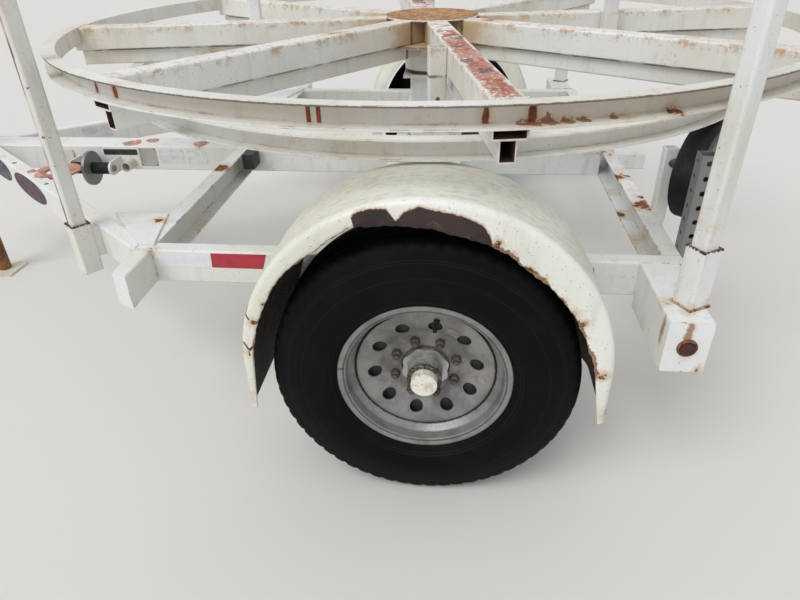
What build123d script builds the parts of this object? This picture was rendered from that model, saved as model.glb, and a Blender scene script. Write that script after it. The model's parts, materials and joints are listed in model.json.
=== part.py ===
"""Single-axle trailer with a flat turntable that carries a coil of tubing.

Millimetres. X runs from the tongue to the tail, Y across, Z up.
The origin is on the ground, in the middle of the whole outline.
"""
from build123d import *
import os
from math import cos, radians, sin, tan

os.makedirs("parts", exist_ok=True)

# Overall lengths
ring_radius = 1299        # outer radius of the turntable's upper ring
wheel_radius = 387
touch = 0.3               # gap left where a curved face meets its neighbour
bearing_gap = 0.3         # running gap inside a bearing

# Frame rails, set in from the upper ring's edge
side_inset = 310                  # ring's edge to the rails' outer faces
front_inset = 500                 # ring's edge to the front crossmember's front face
rear_inset = 577                  # ring's edge to the rear crossmember's rear face
frame_rise = 194                  # rails' top above the axle
rail_wide = 51
rail_high = 102
rail_wall = 5
tube_corner = 6
cross_flange = 49
cross_wall = 6
middle_cross_places = (-131, 98)  # from the turntable axis
middle_cross_wide = 51
beam_wide = 121                   # centre beam
beam_wall = 6
gusset_thick = 6
gusset_reach = 190                # along the crossmember and along the rail
tongue_rail_wide = 51
tongue_rail_angle = 39.2          # to the centre beam
nose_overhang = 102.547           # beam's front end ahead of the tongue rails' corner
eye_overhang = 259                # towing eye's front ahead of the beam's end
rail_outer_y = ring_radius - side_inset
rail_inner_y = rail_outer_y - rail_wide
rail_top = wheel_radius + frame_rise
rail_bottom = rail_top - rail_high
rail_middle = rail_top - rail_high / 2
half_beam = beam_wide / 2
tongue_length = (rail_outer_y - half_beam) / tan(radians(tongue_rail_angle))
nose_reach = ring_radius - front_inset + tongue_length + nose_overhang
table_x = (nose_reach + eye_overhang - ring_radius) / 2
front_cross_x = table_x - ring_radius + front_inset
rear_cross_x = table_x + ring_radius - rear_inset
nose_x = table_x - nose_reach

# Turntable
table_rise = 485                  # top of the turntable above the rails
ring_high = 51
ring_flange = 38
ring_wall = 5
lower_ring_inset = 198            # from the upper ring's outer edge
spoke_count = 8
spoke_start = -80.3               # degrees from X, seen from above
spoke_size = 76
spoke_wall = 5
spoke_end_inset = 15              # from the upper ring's outer edge
lower_spoke_wide = 38
lower_spoke_high = 51
lower_spoke_wall = 4
lower_spoke_end_inset = 27        # from the upper ring's outer edge
hub_radius = 100
hub_wall = 14
hub_disc_radius = 168
hub_disc_thick = 6
hub_shelf_radius = 235
hub_shelf_thick = 5
spoke_angles = [spoke_start + 360 / spoke_count * number for number in range(spoke_count)]
lower_ring_radius = ring_radius - lower_ring_inset
spoke_end = ring_radius - spoke_end_inset
lower_spoke_end = ring_radius - lower_spoke_end_inset
table_top = rail_top + table_rise
spoke_bottom = table_top - spoke_size
lower_ring_top = spoke_bottom - lower_spoke_high
table_bottom = lower_ring_top - ring_high

# Spindle and pedestal
pedestal_size = 152
pedestal_wall = 8
pedestal_plate = 12
pedestal_base = 200
spindle_wall = 12
spindle_top_gap = 10              # below the hub's disc
thrust_thick = 12

# Stakes that hold the coil
inner_socket_size = 51
inner_socket_wall = 3
inner_stake_radius = 650          # distance from the turntable axis
stake_size = 44
stake_wall = 4
stake_corner = 8
stake_rise = 1319                 # top of the stakes above the rails
stake_foot_rise = 8               # inner stake's foot above its socket's lower end
stake_bolt_radius = 6
stake_bolt_rise = 39              # above the socket's lower end
stake_bolt_head = 10
outer_socket_size = 57
outer_socket_wall = 6
outer_socket_high = 150
front_socket_along = 265          # along the tongue rail from its rear end
front_spacer_least = 22.5         # between the rail's outer face and the socket
front_stake_gap = 48.6            # upper ring's edge to the front stake's middle
front_socket_drop = 39            # socket's foot below the rails
front_socket_high = 160
socket_plate = 6
rear_stake_inset = 50             # stake's middle ahead of the rear crossmember's rear face
rear_stake_gap = 65               # upper ring's edge to the rear stake's middle
rear_stake_turn = 29
stake_top = rail_top + stake_rise
front_socket_low = rail_bottom - front_socket_drop
rear_stake_x = rear_cross_x - rear_stake_inset
rear_stake_y = ((ring_radius + rear_stake_gap) ** 2 - (rear_stake_x - table_x) ** 2) ** 0.5

# Axle, springs and wheels
axle_behind = 49                  # axle behind the turntable axis
wheel_outset = 201                # rails' outer face to the tyre's middle
tyre_wide = 235
tyre_tread_wide = 180
tyre_facets = 64                  # flat sides, corners at the true radius
tyre_tread_thick = 25             # tread and the casing under it
tyre_shoulder_drop = 8            # tread's edges below its middle
tyre_upper_wide = 212             # width and radius where the shoulder meets the side wall
tyre_upper_radius = 345
tyre_bulge_drop = 5               # widest part below the middle of the side wall
bead_radius = 203
bead_wide = 165                   # between the rim's flanges
rim_seat = 24                     # wide, under each bead
rim_lip = 17
rim_wall = 5
rim_well = 18                     # depth of the rim's middle
rim_disc_outset = 38              # tyre's middle to the disc's outer face
rim_disc_thick = 8
rim_dish = 8                      # the middle of the disc lies this much deeper
rim_dish_radius = 104
hand_hole_radius = 17
hand_hole_circle = 132
hand_hole_count = 10
hand_hole_start = 7.5             # degrees, where the first hole is
hub_bore = 62
drum_radius = 165
drum_deep = 90
drum_gap = 4
wheel_hub_collar = 58
wheel_hub_barrel = 44
wheel_hub_long = 72               # disc's outer face to the hub's end
wheel_cap_radius = 33
spindle_end_radius = 25
axle_tube_radius = 44
axle_tube_wall = 9
backing_thick = 5
backing_radius = 160
spring_wide = 45
spring_leaf = 9
spring_lengths = (330, 240, 150)  # half lengths, the main leaf first
spring_rise = 42                  # of the main leaf's ends over its middle
spring_eye = 19
spring_pin = 10
clamp_bolt_radius = 6
hanger_thick = 7
hanger_long = 60
shackle_wide = 36
axle_x = table_x + axle_behind
tyre_centre_y = rail_outer_y + wheel_outset
rim_disc_y = tyre_centre_y + rim_disc_outset
wheel_hub_end_y = rim_disc_y + wheel_hub_long
spring_y = rail_outer_y - rail_wide / 2

# Fenders
fender_radius = 447
fender_rise = 48                  # its centre above the axle
fender_wide = 309
fender_clear = 14                 # from the side rail
fender_wall = 4
fender_lip = 50                   # depth of the rolled edge over the tyre
fender_roll = 16
fender_bend = 6                   # outer radius of the inner flange's bend
fender_flange = 70                # inner flange beside the frame
fender_ends_drop = 87             # both ends below the axle
bracket_long = 70
fender_centre_z = wheel_radius + fender_rise
fender_low_z = wheel_radius - fender_ends_drop
fender_inner_y = rail_outer_y + fender_clear
fender_outer_y = fender_inner_y + fender_wide

# Outriggers at the corners
rear_box_wide = 102
rear_box_high = 140
rear_box_wall = 5
rear_box_beyond = 84              # its outer end beyond the rear stake's middle
rear_box_inset = 65               # its middle ahead of the rear crossmember's rear face
front_box_long = 157              # from the side rail, at its rear edge
front_box_wide = 51
front_box_skew = 25               # degrees that its outer end is cut off square
marker_radius = 17.5
marker_deep = 8
tail_lamp_long = 150
tail_lamp_high = 56
tail_lamp_deep = 18
rear_box_end_y = rear_stake_y + rear_box_beyond
rear_box_x = rear_cross_x - rear_box_inset

# Towing eye and jack
nose_plate_thick = 14
nose_plate_wide = 150
nose_plate_high = 130
eye_bore = 38.1
eye_stock = 41
eye_corner = 10
eye_shank_wide = 54
eye_shank_high = 39
jack_behind = 42                  # behind the beam's front end
jack_y = 122
jack_tube_radius = 32
jack_tube_wall = 4
jack_tube_drop = 179              # tube's lower end below the rails
jack_tube_rise = 319              # tube's upper end above the rails
jack_leg_wall = 5
jack_leg_rise = 29                # leg's upper end above the rails
jack_foot = 140
jack_foot_thick = 8
jack_cap_high = 40
jack_cap_radius = 38
jack_bracket_wide = 70
jack_arm_long = 150
jack_rod_radius = 8
jack_grip_long = 90
jack_grip_radius = 14
jack_x = nose_x + jack_behind
jack_tube_low = rail_bottom - jack_tube_drop
jack_tube_top = rail_top + jack_tube_rise
jack_leg_top = rail_top + jack_leg_rise

# Small pieces on the tongue
roller_ahead = 611                # of the front crossmember
roller_y = 134
roller_drop = 71                  # below the rails' top
roller_shaft_radius = 12
roller_disc_radius = 70
roller_disc_thick = 12
roller_sleeve_radius = 24
roller_sleeve_long = 78
roller_lug_thick = 8
roller_lug_wide = 56
ring_plate_ahead = 651            # of the front crossmember
ring_plate_inset = 78.054         # its middle inside the tongue rail's outer face, along Y
ring_plate_drop = 26              # below the rails' top
ring_plate_radius = 85
ring_plate_bore = 45
ring_plate_thick = 8
stub_tube_behind = 140            # behind the roller's disc
stub_tube_radius = 21
stub_tube_wall = 4
stub_tube_long = 60
slot_plate_ahead = 170            # ahead of the roller's disc
slot_plate_long = 120
slot_plate_high = 70
slot_plate_thick = 8
junction_box_gap = 15             # from the centre beam
junction_box_long = 80
junction_box_high = 60
junction_box_deep = 45
roller_x = front_cross_x - roller_ahead
roller_z = rail_top - roller_drop
ring_plate_x = front_cross_x - ring_plate_ahead
ring_plate_y = rail_outer_y - ring_plate_ahead * tan(radians(tongue_rail_angle)) - ring_plate_inset
ring_plate_top = rail_top - ring_plate_drop
stub_tube_x = roller_x + stub_tube_behind
slot_plate_x = roller_x - slot_plate_ahead

# Friction drive wheel under the lower ring
drive_angle = -40.5               # degrees, direction of its axle
drive_inset = 23                  # its middle inside the lower ring's outer edge
drive_radius = 145
drive_gap = 5                     # below the lower ring
drive_wide = 70
drive_tyre_thick = 40
drive_shaft_radius = 16
drive_rim_wall = 6
drive_disc_thick = 10
drive_side_gap = 10
drive_plate_thick = 10
drive_plate_high = 90
drive_plate_end = 30
inner_upright_size = 40
inner_upright_shift = -3.73       # off the line of the wheel's shaft, along Y
inner_upright_rise = 199          # above the rails' top
inner_upright_drop = 101          # below the rails' top
outer_upright_size = 45
outer_upright_outset = 72.606     # beyond the wheel's middle, along its shaft
outer_upright_rise = 269          # above the rails' top
outer_upright_drop = 131          # below the rails' top
outer_upright_pitch = 40
outer_upright_hole = 7
upright_wall = 4
receiver_size = 64
receiver_wall = 6
receiver_long = 130
drive_distance = lower_ring_radius - drive_inset
inner_upright_x = rear_cross_x + inner_upright_size / 2
outer_upright_x = rear_cross_x + outer_upright_size / 2
shaft_slope = tan(radians(-drive_angle))
inner_upright_y = (inner_upright_x - table_x) * shaft_slope + inner_upright_shift
outward_share = (outer_upright_x - table_x) * cos(radians(drive_angle))
outer_upright_y = (drive_distance + outer_upright_outset - outward_share) / sin(radians(-drive_angle))
inner_upright_top = rail_top + inner_upright_rise
inner_upright_low = rail_top - inner_upright_drop
outer_upright_top = rail_top + outer_upright_rise
outer_upright_low = rail_top - outer_upright_drop


def save(part, name):
    part.label = name
    export_step(part, f"parts/{name}.step")


def radial_plane(angle, distance, height):
    """Plane across a line from the turntable axis; X is anticlockwise, Y is up."""
    out_x = cos(radians(angle))
    out_y = sin(radians(angle))
    origin = (table_x + distance * out_x, distance * out_y, height)
    return Plane(origin=origin, x_dir=(-out_y, out_x, 0), z_dir=(out_x, out_y, 0))


def hollow_section(wide, high, wall, corner):
    """Section of a rolled tube, added to the sketch that is open."""
    RectangleRounded(wide, high, corner)
    RectangleRounded(wide - 2 * wall, high - 2 * wall, max(corner - wall, 1), mode=Mode.SUBTRACT)


def disc_block(radius, low, high, centre=(0, 0), bore=0, mode=Mode.ADD):
    """Upright cylinder or ring, added to the part that is open."""
    with BuildSketch(Plane.XY.offset(low)) as outline:
        with Locations(centre):
            Circle(radius)
            if bore:
                Circle(bore, mode=Mode.SUBTRACT)
    extrude(outline.sketch, amount=high - low, mode=mode)


def block(x_span, y_span, z_span, mode=Mode.ADD):
    """Plain block between two corners, added to the part that is open."""
    with BuildSketch(Plane.XY.offset(z_span[0])) as outline:
        with Locations(((x_span[0] + x_span[1]) / 2, (y_span[0] + y_span[1]) / 2)):
            Rectangle(x_span[1] - x_span[0], y_span[1] - y_span[0])
    extrude(outline.sketch, amount=z_span[1] - z_span[0], mode=mode)


def long_tube(x_span, y, wide, high, wall, corner, middle_z):
    """Tube along X, added to the part that is open."""
    with BuildSketch(Plane.YZ.offset(x_span[0])) as outline:
        with Locations((y, middle_z)):
            hollow_section(wide, high, wall, corner)
    extrude(outline.sketch, amount=x_span[1] - x_span[0])


def cross_tube(y_span, x, wide, high, wall, corner, middle_z):
    """Tube along Y, added to the part that is open."""
    with BuildSketch(Plane.XZ.offset(-y_span[0])) as outline:
        with Locations((x, middle_z)):
            hollow_section(wide, high, wall, corner)
    extrude(outline.sketch, amount=-(y_span[1] - y_span[0]))


def cross_channel(y_span, back_x, toe_x):
    """Channel along Y with its web at back_x and its flanges reaching toe_x."""
    web_x = back_x + cross_wall if toe_x > back_x else back_x - cross_wall
    with BuildSketch(Plane.XZ.offset(-y_span[0])) as outline:
        with BuildLine():
            Polyline(
                (back_x, rail_bottom), (toe_x, rail_bottom), (toe_x, rail_bottom + cross_wall),
                (web_x, rail_bottom + cross_wall), (web_x, rail_top - cross_wall),
                (toe_x, rail_top - cross_wall), (toe_x, rail_top), (back_x, rail_top), close=True)
        make_face()
    extrude(outline.sketch, amount=-(y_span[1] - y_span[0]))


def upright_tube(place, low, high, size, wall, corner, turn=0, mode=Mode.ADD):
    """Square tube that stands on end, turned by some degrees."""
    with BuildSketch(Plane.XY.offset(low)) as outline:
        with Locations(Location((place[0], place[1], 0), (0, 0, turn))):
            hollow_section(size, size, wall, corner)
    extrude(outline.sketch, amount=high - low, mode=mode)


def ring_channel(radius, top):
    """Rolled channel, its web inside and its flanges pointing out."""
    inner = radius - ring_flange
    low = top - ring_high
    with BuildPart() as ring:
        with BuildSketch(Plane(origin=(table_x, 0, 0), x_dir=(1, 0, 0), z_dir=(0, -1, 0))):
            with BuildLine():
                Polyline(
                    (inner, low), (radius, low), (radius, low + ring_wall),
                    (inner + ring_wall, low + ring_wall), (inner + ring_wall, top - ring_wall),
                    (radius, top - ring_wall), (radius, top), (inner, top), close=True)
            make_face()
        revolve(axis=Axis((table_x, 0, 0), (0, 0, 1)))
    return ring.part


# Rings
save(ring_channel(ring_radius, table_top), "turntable_ring_upper")
save(ring_channel(lower_ring_radius, lower_ring_top), "turntable_ring_lower")

# Upper spokes, notched at their ends to carry the upper ring
with BuildPart() as upper_spokes:
    for angle in spoke_angles:
        with BuildSketch(radial_plane(angle, hub_radius / 2, table_top - spoke_size / 2)):
            hollow_section(spoke_size, spoke_size, spoke_wall, tube_corner)
        extrude(amount=spoke_end - hub_radius / 2)
    disc_block(hub_radius + touch, spoke_bottom, table_top, (table_x, 0), mode=Mode.SUBTRACT)
    disc_block(
        ring_radius + ring_flange, table_top - ring_high, table_top, (table_x, 0),
        bore=ring_radius - ring_flange - touch, mode=Mode.SUBTRACT)
save(upper_spokes.part, "turntable_spokes_upper")

# Lower spokes, which lie on the lower ring
with BuildPart() as lower_spokes:
    for angle in spoke_angles:
        with BuildSketch(radial_plane(angle, hub_radius / 2, spoke_bottom - lower_spoke_high / 2)):
            hollow_section(lower_spoke_wide, lower_spoke_high, lower_spoke_wall, tube_corner)
        extrude(amount=lower_spoke_end - hub_radius / 2)
    disc_block(hub_radius + touch, lower_ring_top, spoke_bottom, (table_x, 0), mode=Mode.SUBTRACT)
save(lower_spokes.part, "turntable_spokes_lower")

# Hub barrel with its shelf, which the lower spokes cut into sectors
with BuildPart() as hub:
    disc_block(hub_radius, table_bottom, table_top, (table_x, 0), bore=hub_radius - hub_wall)
    shelf_low = spoke_bottom - hub_shelf_thick
    with BuildSketch(Plane.XY.offset(shelf_low)):
        with Locations((table_x, 0)):
            Circle(hub_shelf_radius)
            Circle(hub_radius - hub_wall / 2, mode=Mode.SUBTRACT)
            with PolarLocations(hub_shelf_radius, spoke_count, start_angle=spoke_start):
                Rectangle(2 * hub_shelf_radius, lower_spoke_wide, mode=Mode.SUBTRACT)
    extrude(amount=hub_shelf_thick)
save(hub.part, "turntable_hub")

# Disc on the hub
with BuildPart() as hub_disc:
    disc_block(hub_disc_radius, table_top, table_top + hub_disc_thick, (table_x, 0))
save(hub_disc.part, "turntable_hub_disc")


# The inner sockets stand against one side of their spokes
socket_side = -(spoke_size + inner_socket_size) / 2


def spoke_side_place(angle):
    """Middle of the inner socket beside a spoke."""
    out_x = cos(radians(angle))
    out_y = sin(radians(angle))
    return (
        table_x + inner_stake_radius * out_x - socket_side * out_y,
        inner_stake_radius * out_y + socket_side * out_x)


def radial_bolt_hole(angle, radius, mode):
    """Hole or bolt shank along the spoke, through the socket's foot."""
    start = radial_plane(
        angle, inner_stake_radius - inner_socket_size / 2, table_bottom + stake_bolt_rise)
    with BuildSketch(start) as outline:
        with Locations((socket_side, 0)):
            Circle(radius)
    extrude(outline.sketch, amount=inner_socket_size, mode=mode)


# Sockets beside every second spoke; the first, nearest the viewer, has lost its stake
with BuildPart() as inner_sockets:
    for angle in spoke_angles[::2]:
        upright_tube(
            spoke_side_place(angle), table_bottom, table_top,
            inner_socket_size, inner_socket_wall, tube_corner, turn=angle)
        radial_bolt_hole(angle, stake_bolt_radius + touch, Mode.SUBTRACT)
save(inner_sockets.part, "turntable_stake_sockets")

# Inner stakes and the bolts that hold them
stake_angles = spoke_angles[2::2]
with BuildPart() as inner_stakes:
    for angle in stake_angles:
        upright_tube(
            spoke_side_place(angle), table_bottom + stake_foot_rise, stake_top,
            stake_size, stake_wall, stake_corner, turn=angle)
        radial_bolt_hole(angle, stake_bolt_radius + touch, Mode.SUBTRACT)
save(inner_stakes.part, "turntable_stakes")

with BuildPart() as stake_bolts:
    for angle in stake_angles:
        radial_bolt_hole(angle, stake_bolt_radius, Mode.ADD)
        for distance, thick in (
                (inner_stake_radius + inner_socket_size / 2, stake_bolt_head),
                (inner_stake_radius - inner_socket_size / 2, -stake_bolt_head)):
            with BuildSketch(radial_plane(angle, distance, table_bottom + stake_bolt_rise)):
                with Locations((socket_side, 0)):
                    RegularPolygon(stake_bolt_head, 6)
            extrude(amount=thick)
save(stake_bolts.part, "turntable_stake_bolts")

# Side rails, from crossmember to crossmember
for side, name in ((-1, "near"), (1, "far")):
    with BuildPart() as side_rail:
        long_tube(
            (front_cross_x, rear_cross_x), side * (rail_outer_y - rail_wide / 2),
            rail_wide, rail_high, rail_wall, tube_corner, rail_middle)
    save(side_rail.part, f"side_rail_{name}")

# Crossmembers
beam_end_x = rear_cross_x - cross_flange
with BuildPart() as front_crossmember:
    for span in ((-rail_inner_y, -half_beam), (half_beam, rail_inner_y)):
        cross_channel(span, front_cross_x, front_cross_x + cross_flange)
save(front_crossmember.part, "front_crossmember")

with BuildPart() as rear_crossmember:
    cross_channel((-rail_inner_y, rail_inner_y), rear_cross_x, beam_end_x)
save(rear_crossmember.part, "rear_crossmember")

with BuildPart() as middle_crossmembers:
    for place in middle_cross_places:
        for span in ((-rail_inner_y, -half_beam), (half_beam, rail_inner_y)):
            cross_tube(
                span, table_x + place, middle_cross_wide, rail_high, rail_wall, tube_corner, rail_middle)
save(middle_crossmembers.part, "middle_crossmembers")

# Centre beam, from the tongue's nose to the rear crossmember
with BuildPart() as centre_beam:
    long_tube((nose_x, beam_end_x), 0, beam_wide, rail_high, beam_wall, tube_corner, rail_middle)
save(centre_beam.part, "centre_beam")

# Tongue rails, cut off by the front crossmember and by the centre beam
along_x = -cos(radians(tongue_rail_angle))
along_y = sin(radians(tongue_rail_angle))


def tongue_plane(along, outward, height):
    """Plane across the near tongue rail; X points outward, Y up."""
    origin = (
        front_cross_x + along * along_x - outward * along_y,
        -rail_outer_y + along * along_y + outward * along_x,
        height)
    return Plane(origin=origin, x_dir=(-along_y, along_x, 0), z_dir=(-along_x, -along_y, 0))


with BuildPart() as tongue_rail:
    reach = rail_outer_y / along_y + 2 * rail_high
    with BuildSketch(tongue_plane(reach, -tongue_rail_wide / 2, rail_middle)):
        hollow_section(tongue_rail_wide, rail_high, rail_wall, tube_corner)
    extrude(amount=reach + 2 * rail_high)
    split(bisect_by=Plane(origin=(front_cross_x, 0, 0), z_dir=(-1, 0, 0)), keep=Keep.TOP)
    split(bisect_by=Plane(origin=(0, -half_beam, 0), z_dir=(0, -1, 0)), keep=Keep.TOP)
save(tongue_rail.part, "tongue_rail_near")
save(tongue_rail.part.mirror(Plane.XZ), "tongue_rail_far")

# Gusset plates on the corners between tongue rails and front crossmember
with BuildPart() as gussets:
    with BuildSketch(Plane.XY.offset(rail_top)):
        with BuildLine():
            Polyline(
                (front_cross_x + cross_flange, -rail_inner_y - rail_wide / 2),
                (front_cross_x, -rail_inner_y + gusset_reach),
                (front_cross_x + gusset_reach * along_x, -rail_inner_y + gusset_reach),
                (front_cross_x, -rail_inner_y - rail_wide / 2), close=True)
        make_face()
    extrude(amount=gusset_thick)
    mirror(about=Plane.XZ)
save(gussets.part, "corner_gussets")

# Pedestal and spindle under the turntable
thrust_top = table_bottom - bearing_gap
plate_top = thrust_top - thrust_thick
spindle_radius = hub_radius - hub_wall - bearing_gap
with BuildPart() as pedestal:
    block(
        (table_x - pedestal_base / 2 - pedestal_plate, table_x + pedestal_base / 2 - pedestal_plate),
        (-half_beam, half_beam), (rail_top, rail_top + pedestal_plate))
    upright_tube(
        (table_x, 0), rail_top + pedestal_plate, plate_top - pedestal_plate,
        pedestal_size, pedestal_wall, tube_corner * 2)
    block(
        (table_x - pedestal_base / 2, table_x + pedestal_base / 2),
        (-pedestal_base / 2, pedestal_base / 2), (plate_top - pedestal_plate, plate_top))
    disc_block(
        spindle_radius, plate_top, table_top - spindle_top_gap, (table_x, 0),
        bore=spindle_radius - spindle_wall)
save(pedestal.part, "turntable_pedestal")

with BuildPart() as thrust_ring:
    disc_block(hub_radius, plate_top, thrust_top, (table_x, 0), bore=spindle_radius + touch)
save(thrust_ring.part, "turntable_thrust_ring")

# Rear outriggers, hollow boxes with a closed outer end
box_middle = rail_top - rear_box_high / 2
with BuildPart() as rear_boxes:
    cross_tube(
        (-rear_box_end_y, -rail_outer_y), rear_box_x,
        rear_box_wide, rear_box_high, rear_box_wall, tube_corner, box_middle)
    with BuildSketch(Plane.XZ.offset(rear_box_end_y)):
        with Locations((rear_box_x, box_middle)):
            RectangleRounded(rear_box_wide, rear_box_high, tube_corner)
    extrude(amount=-rear_box_wall)
    mirror(about=Plane.XZ)
save(rear_boxes.part, "rear_outriggers")

# Front outriggers, their outer ends cut on the skew and closed by a plate
front_box_x = front_cross_x + front_box_wide / 2
front_box_end_y = rail_outer_y + front_box_long


def front_box(wide, high, corner, end_y):
    """Solid bar of a section, from the side rail to the skew end at end_y."""
    with BuildPart() as bar:
        with BuildSketch(Plane.XZ.offset(rail_outer_y)):
            with Locations((front_box_x, rail_middle)):
                RectangleRounded(wide, high, corner)
        extrude(amount=front_box_long + front_box_wide)
        skew = Plane(
            origin=(front_cross_x + front_box_wide, -end_y, 0),
            z_dir=(sin(radians(front_box_skew)), cos(radians(front_box_skew)), 0))
        split(bisect_by=skew, keep=Keep.TOP)
    return bar.part


with BuildPart() as front_boxes:
    add(front_box(front_box_wide, rail_high, tube_corner, front_box_end_y))
    add(
        front_box(
            front_box_wide - 2 * rail_wall, rail_high - 2 * rail_wall, max(tube_corner - rail_wall, 1),
            front_box_end_y - rail_wall / cos(radians(front_box_skew))),
        mode=Mode.SUBTRACT)
    mirror(about=Plane.XZ)
save(front_boxes.part, "front_outriggers")

# Round marker lamps on the outriggers, and tail lamps
with BuildPart() as marker_lamps:
    with BuildSketch(Plane.XZ.offset(rear_box_end_y)):
        with Locations((rear_box_x, box_middle)):
            Circle(marker_radius)
    extrude(amount=marker_deep)
    with BuildSketch(Plane.YZ.offset(front_cross_x)):
        with Locations((-(rail_outer_y + front_box_end_y) / 2, rail_middle)):
            Circle(marker_radius)
    extrude(amount=-marker_deep)
    mirror(about=Plane.XZ)
save(marker_lamps.part, "marker_lamps")

with BuildPart() as tail_lamps:
    with BuildSketch(Plane.YZ.offset(rear_box_x + rear_box_wide / 2)):
        with Locations((-(rail_outer_y + rear_box_end_y) / 2, box_middle)):
            SlotOverall(tail_lamp_long, tail_lamp_high)
    extrude(amount=tail_lamp_deep)
    mirror(about=Plane.XZ)
save(tail_lamps.part, "tail_lamps")

# Outer stakes and their sockets
with BuildPart() as rear_sockets:
    upright_tube(
        (rear_stake_x, -rear_stake_y), rail_top, rail_top + outer_socket_high,
        outer_socket_size, outer_socket_wall, tube_corner, turn=rear_stake_turn)
    mirror(about=Plane.XZ)
save(rear_sockets.part, "stake_sockets_rear")

# The front socket stands off its rail where the upper ring needs the room
rail_face = tongue_plane(front_socket_along, 0, 0)
from_axis = rail_face.origin - Vector(table_x, 0, 0)
outward = from_axis.dot(rail_face.x_dir)
stake_distance = ring_radius + front_stake_gap
room = (outward ** 2 + stake_distance ** 2 - from_axis.length ** 2) ** 0.5 - outward
front_socket_offset = max(room, front_spacer_least + outer_socket_size / 2)
front_stake = tongue_plane(front_socket_along, front_socket_offset, 0).origin
front_stake_place = (front_stake.X, front_stake.Y)
front_stake_turn = -tongue_rail_angle
front_stake_foot = front_socket_low + socket_plate
with BuildPart() as front_sockets:
    upright_tube(
        front_stake_place, front_stake_foot, front_socket_low + front_socket_high,
        outer_socket_size, outer_socket_wall, tube_corner, turn=front_stake_turn)
    with BuildSketch(Plane.XY.offset(front_socket_low)):
        with Locations(Location((front_stake.X, front_stake.Y, 0), (0, 0, front_stake_turn))):
            RectangleRounded(outer_socket_size, outer_socket_size, tube_corner)
    extrude(amount=socket_plate)
    spacer_thick = front_socket_offset - outer_socket_size / 2
    spacer_wide = outer_socket_size - 2 * tube_corner
    with BuildSketch(tongue_plane(front_socket_along, spacer_thick / 2, rail_middle)):
        Rectangle(spacer_thick, rail_high - 2 * tube_corner)
    extrude(amount=spacer_wide / 2, both=True)
    mirror(about=Plane.XZ)
save(front_sockets.part, "stake_sockets_front")

with BuildPart() as outer_stakes:
    for place, foot, turn in (
            ((rear_stake_x, -rear_stake_y), rail_top, rear_stake_turn),
            (front_stake_place, front_stake_foot, front_stake_turn)):
        upright_tube(place, foot, stake_top, stake_size, stake_wall, stake_corner, turn=turn)
    mirror(about=Plane.XZ)
save(outer_stakes.part, "outer_stakes")

# Axle tube with its solid ends
hub_flange_y = rim_disc_y - rim_dish - rim_disc_thick
drum_inner_y = hub_flange_y - drum_deep
backing_y = drum_inner_y - drum_gap
with BuildPart() as axle:
    with BuildSketch(Plane.XZ):
        with Locations((axle_x, wheel_radius)):
            Circle(axle_tube_radius)
            Circle(axle_tube_radius - axle_tube_wall, mode=Mode.SUBTRACT)
    extrude(amount=backing_y - backing_thick, both=True)
    for side in (-1, 1):
        with BuildSketch(Plane.XZ.offset(-side * (backing_y - backing_thick - axle_tube_wall))):
            with Locations((axle_x, wheel_radius)):
                Circle(axle_tube_radius)
        extrude(amount=-side * axle_tube_wall)
        with BuildSketch(Plane.XZ.offset(-side * (backing_y - backing_thick))):
            with Locations((axle_x, wheel_radius)):
                Circle(spindle_end_radius)
        extrude(amount=-side * (wheel_hub_end_y - 2 * rim_dish - backing_y))
save(axle.part, "axle")

# Brake backing plates
with BuildPart() as backing_plates:
    with BuildSketch(Plane.XZ.offset(backing_y - backing_thick)):
        with Locations((axle_x, wheel_radius)):
            Circle(backing_radius)
            Circle(spindle_end_radius + touch, mode=Mode.SUBTRACT)
    extrude(amount=backing_thick)
    mirror(about=Plane.XZ)
save(backing_plates.part, "brake_backing_plates")

# Leaf springs under the axle: concentric leaves with eyes at the main leaf's ends
main_half = spring_lengths[0]
spring_top_z = wheel_radius - axle_tube_radius - touch
spring_radius = (main_half ** 2 + spring_rise ** 2) / (2 * spring_rise)
arc_centre_z = spring_top_z + spring_radius
eye_z = arc_centre_z - (spring_radius ** 2 - main_half ** 2) ** 0.5


def leaf_point(radius, half):
    """Point on a leaf's arc, at a distance along X from its middle."""
    return (axle_x + half, arc_centre_z - (radius ** 2 - half ** 2) ** 0.5)


with BuildPart() as springs:
    with BuildSketch(Plane.XZ.offset(spring_y - spring_wide / 2)):
        for number, half in enumerate(spring_lengths):
            upper = spring_radius + number * spring_leaf
            lower = upper + spring_leaf
            with BuildLine():
                ThreePointArc(leaf_point(upper, -half), leaf_point(upper, 0), leaf_point(upper, half))
                Line(leaf_point(upper, half), leaf_point(lower, half))
                ThreePointArc(leaf_point(lower, half), leaf_point(lower, 0), leaf_point(lower, -half))
                Line(leaf_point(lower, -half), leaf_point(upper, -half))
            make_face()
        for half in (-main_half, main_half):
            with Locations((axle_x + half, eye_z)):
                Circle(spring_eye)
        for half in (-main_half, main_half):
            with Locations((axle_x + half, eye_z)):
                Circle(spring_pin + touch, mode=Mode.SUBTRACT)
    extrude(amount=spring_wide)
    mirror(about=Plane.XZ)
save(springs.part, "leaf_springs")

# Clamp plates and bolts that hold the springs to the axle
with BuildPart() as spring_clamps:
    clamp_half = axle_tube_radius + 2 * spring_pin
    clamp_low = leaf_point(spring_radius + len(spring_lengths) * spring_leaf, 0)[1] - touch
    with BuildSketch(Plane.XY.offset(clamp_low)):
        with Locations((axle_x, -spring_y)):
            Rectangle(2 * clamp_half, spring_wide + 6 * spring_pin)
    extrude(amount=-spring_leaf)
    with BuildSketch(Plane.XY.offset(clamp_low)):
        with Locations((axle_x, -spring_y)):
            with GridLocations(
                    2 * (axle_tube_radius + spring_pin), spring_wide + 2 * spring_pin, 2, 2):
                Circle(clamp_bolt_radius)
    extrude(amount=wheel_radius - clamp_low)
    mirror(about=Plane.XZ)
save(spring_clamps.part, "spring_clamps")

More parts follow.
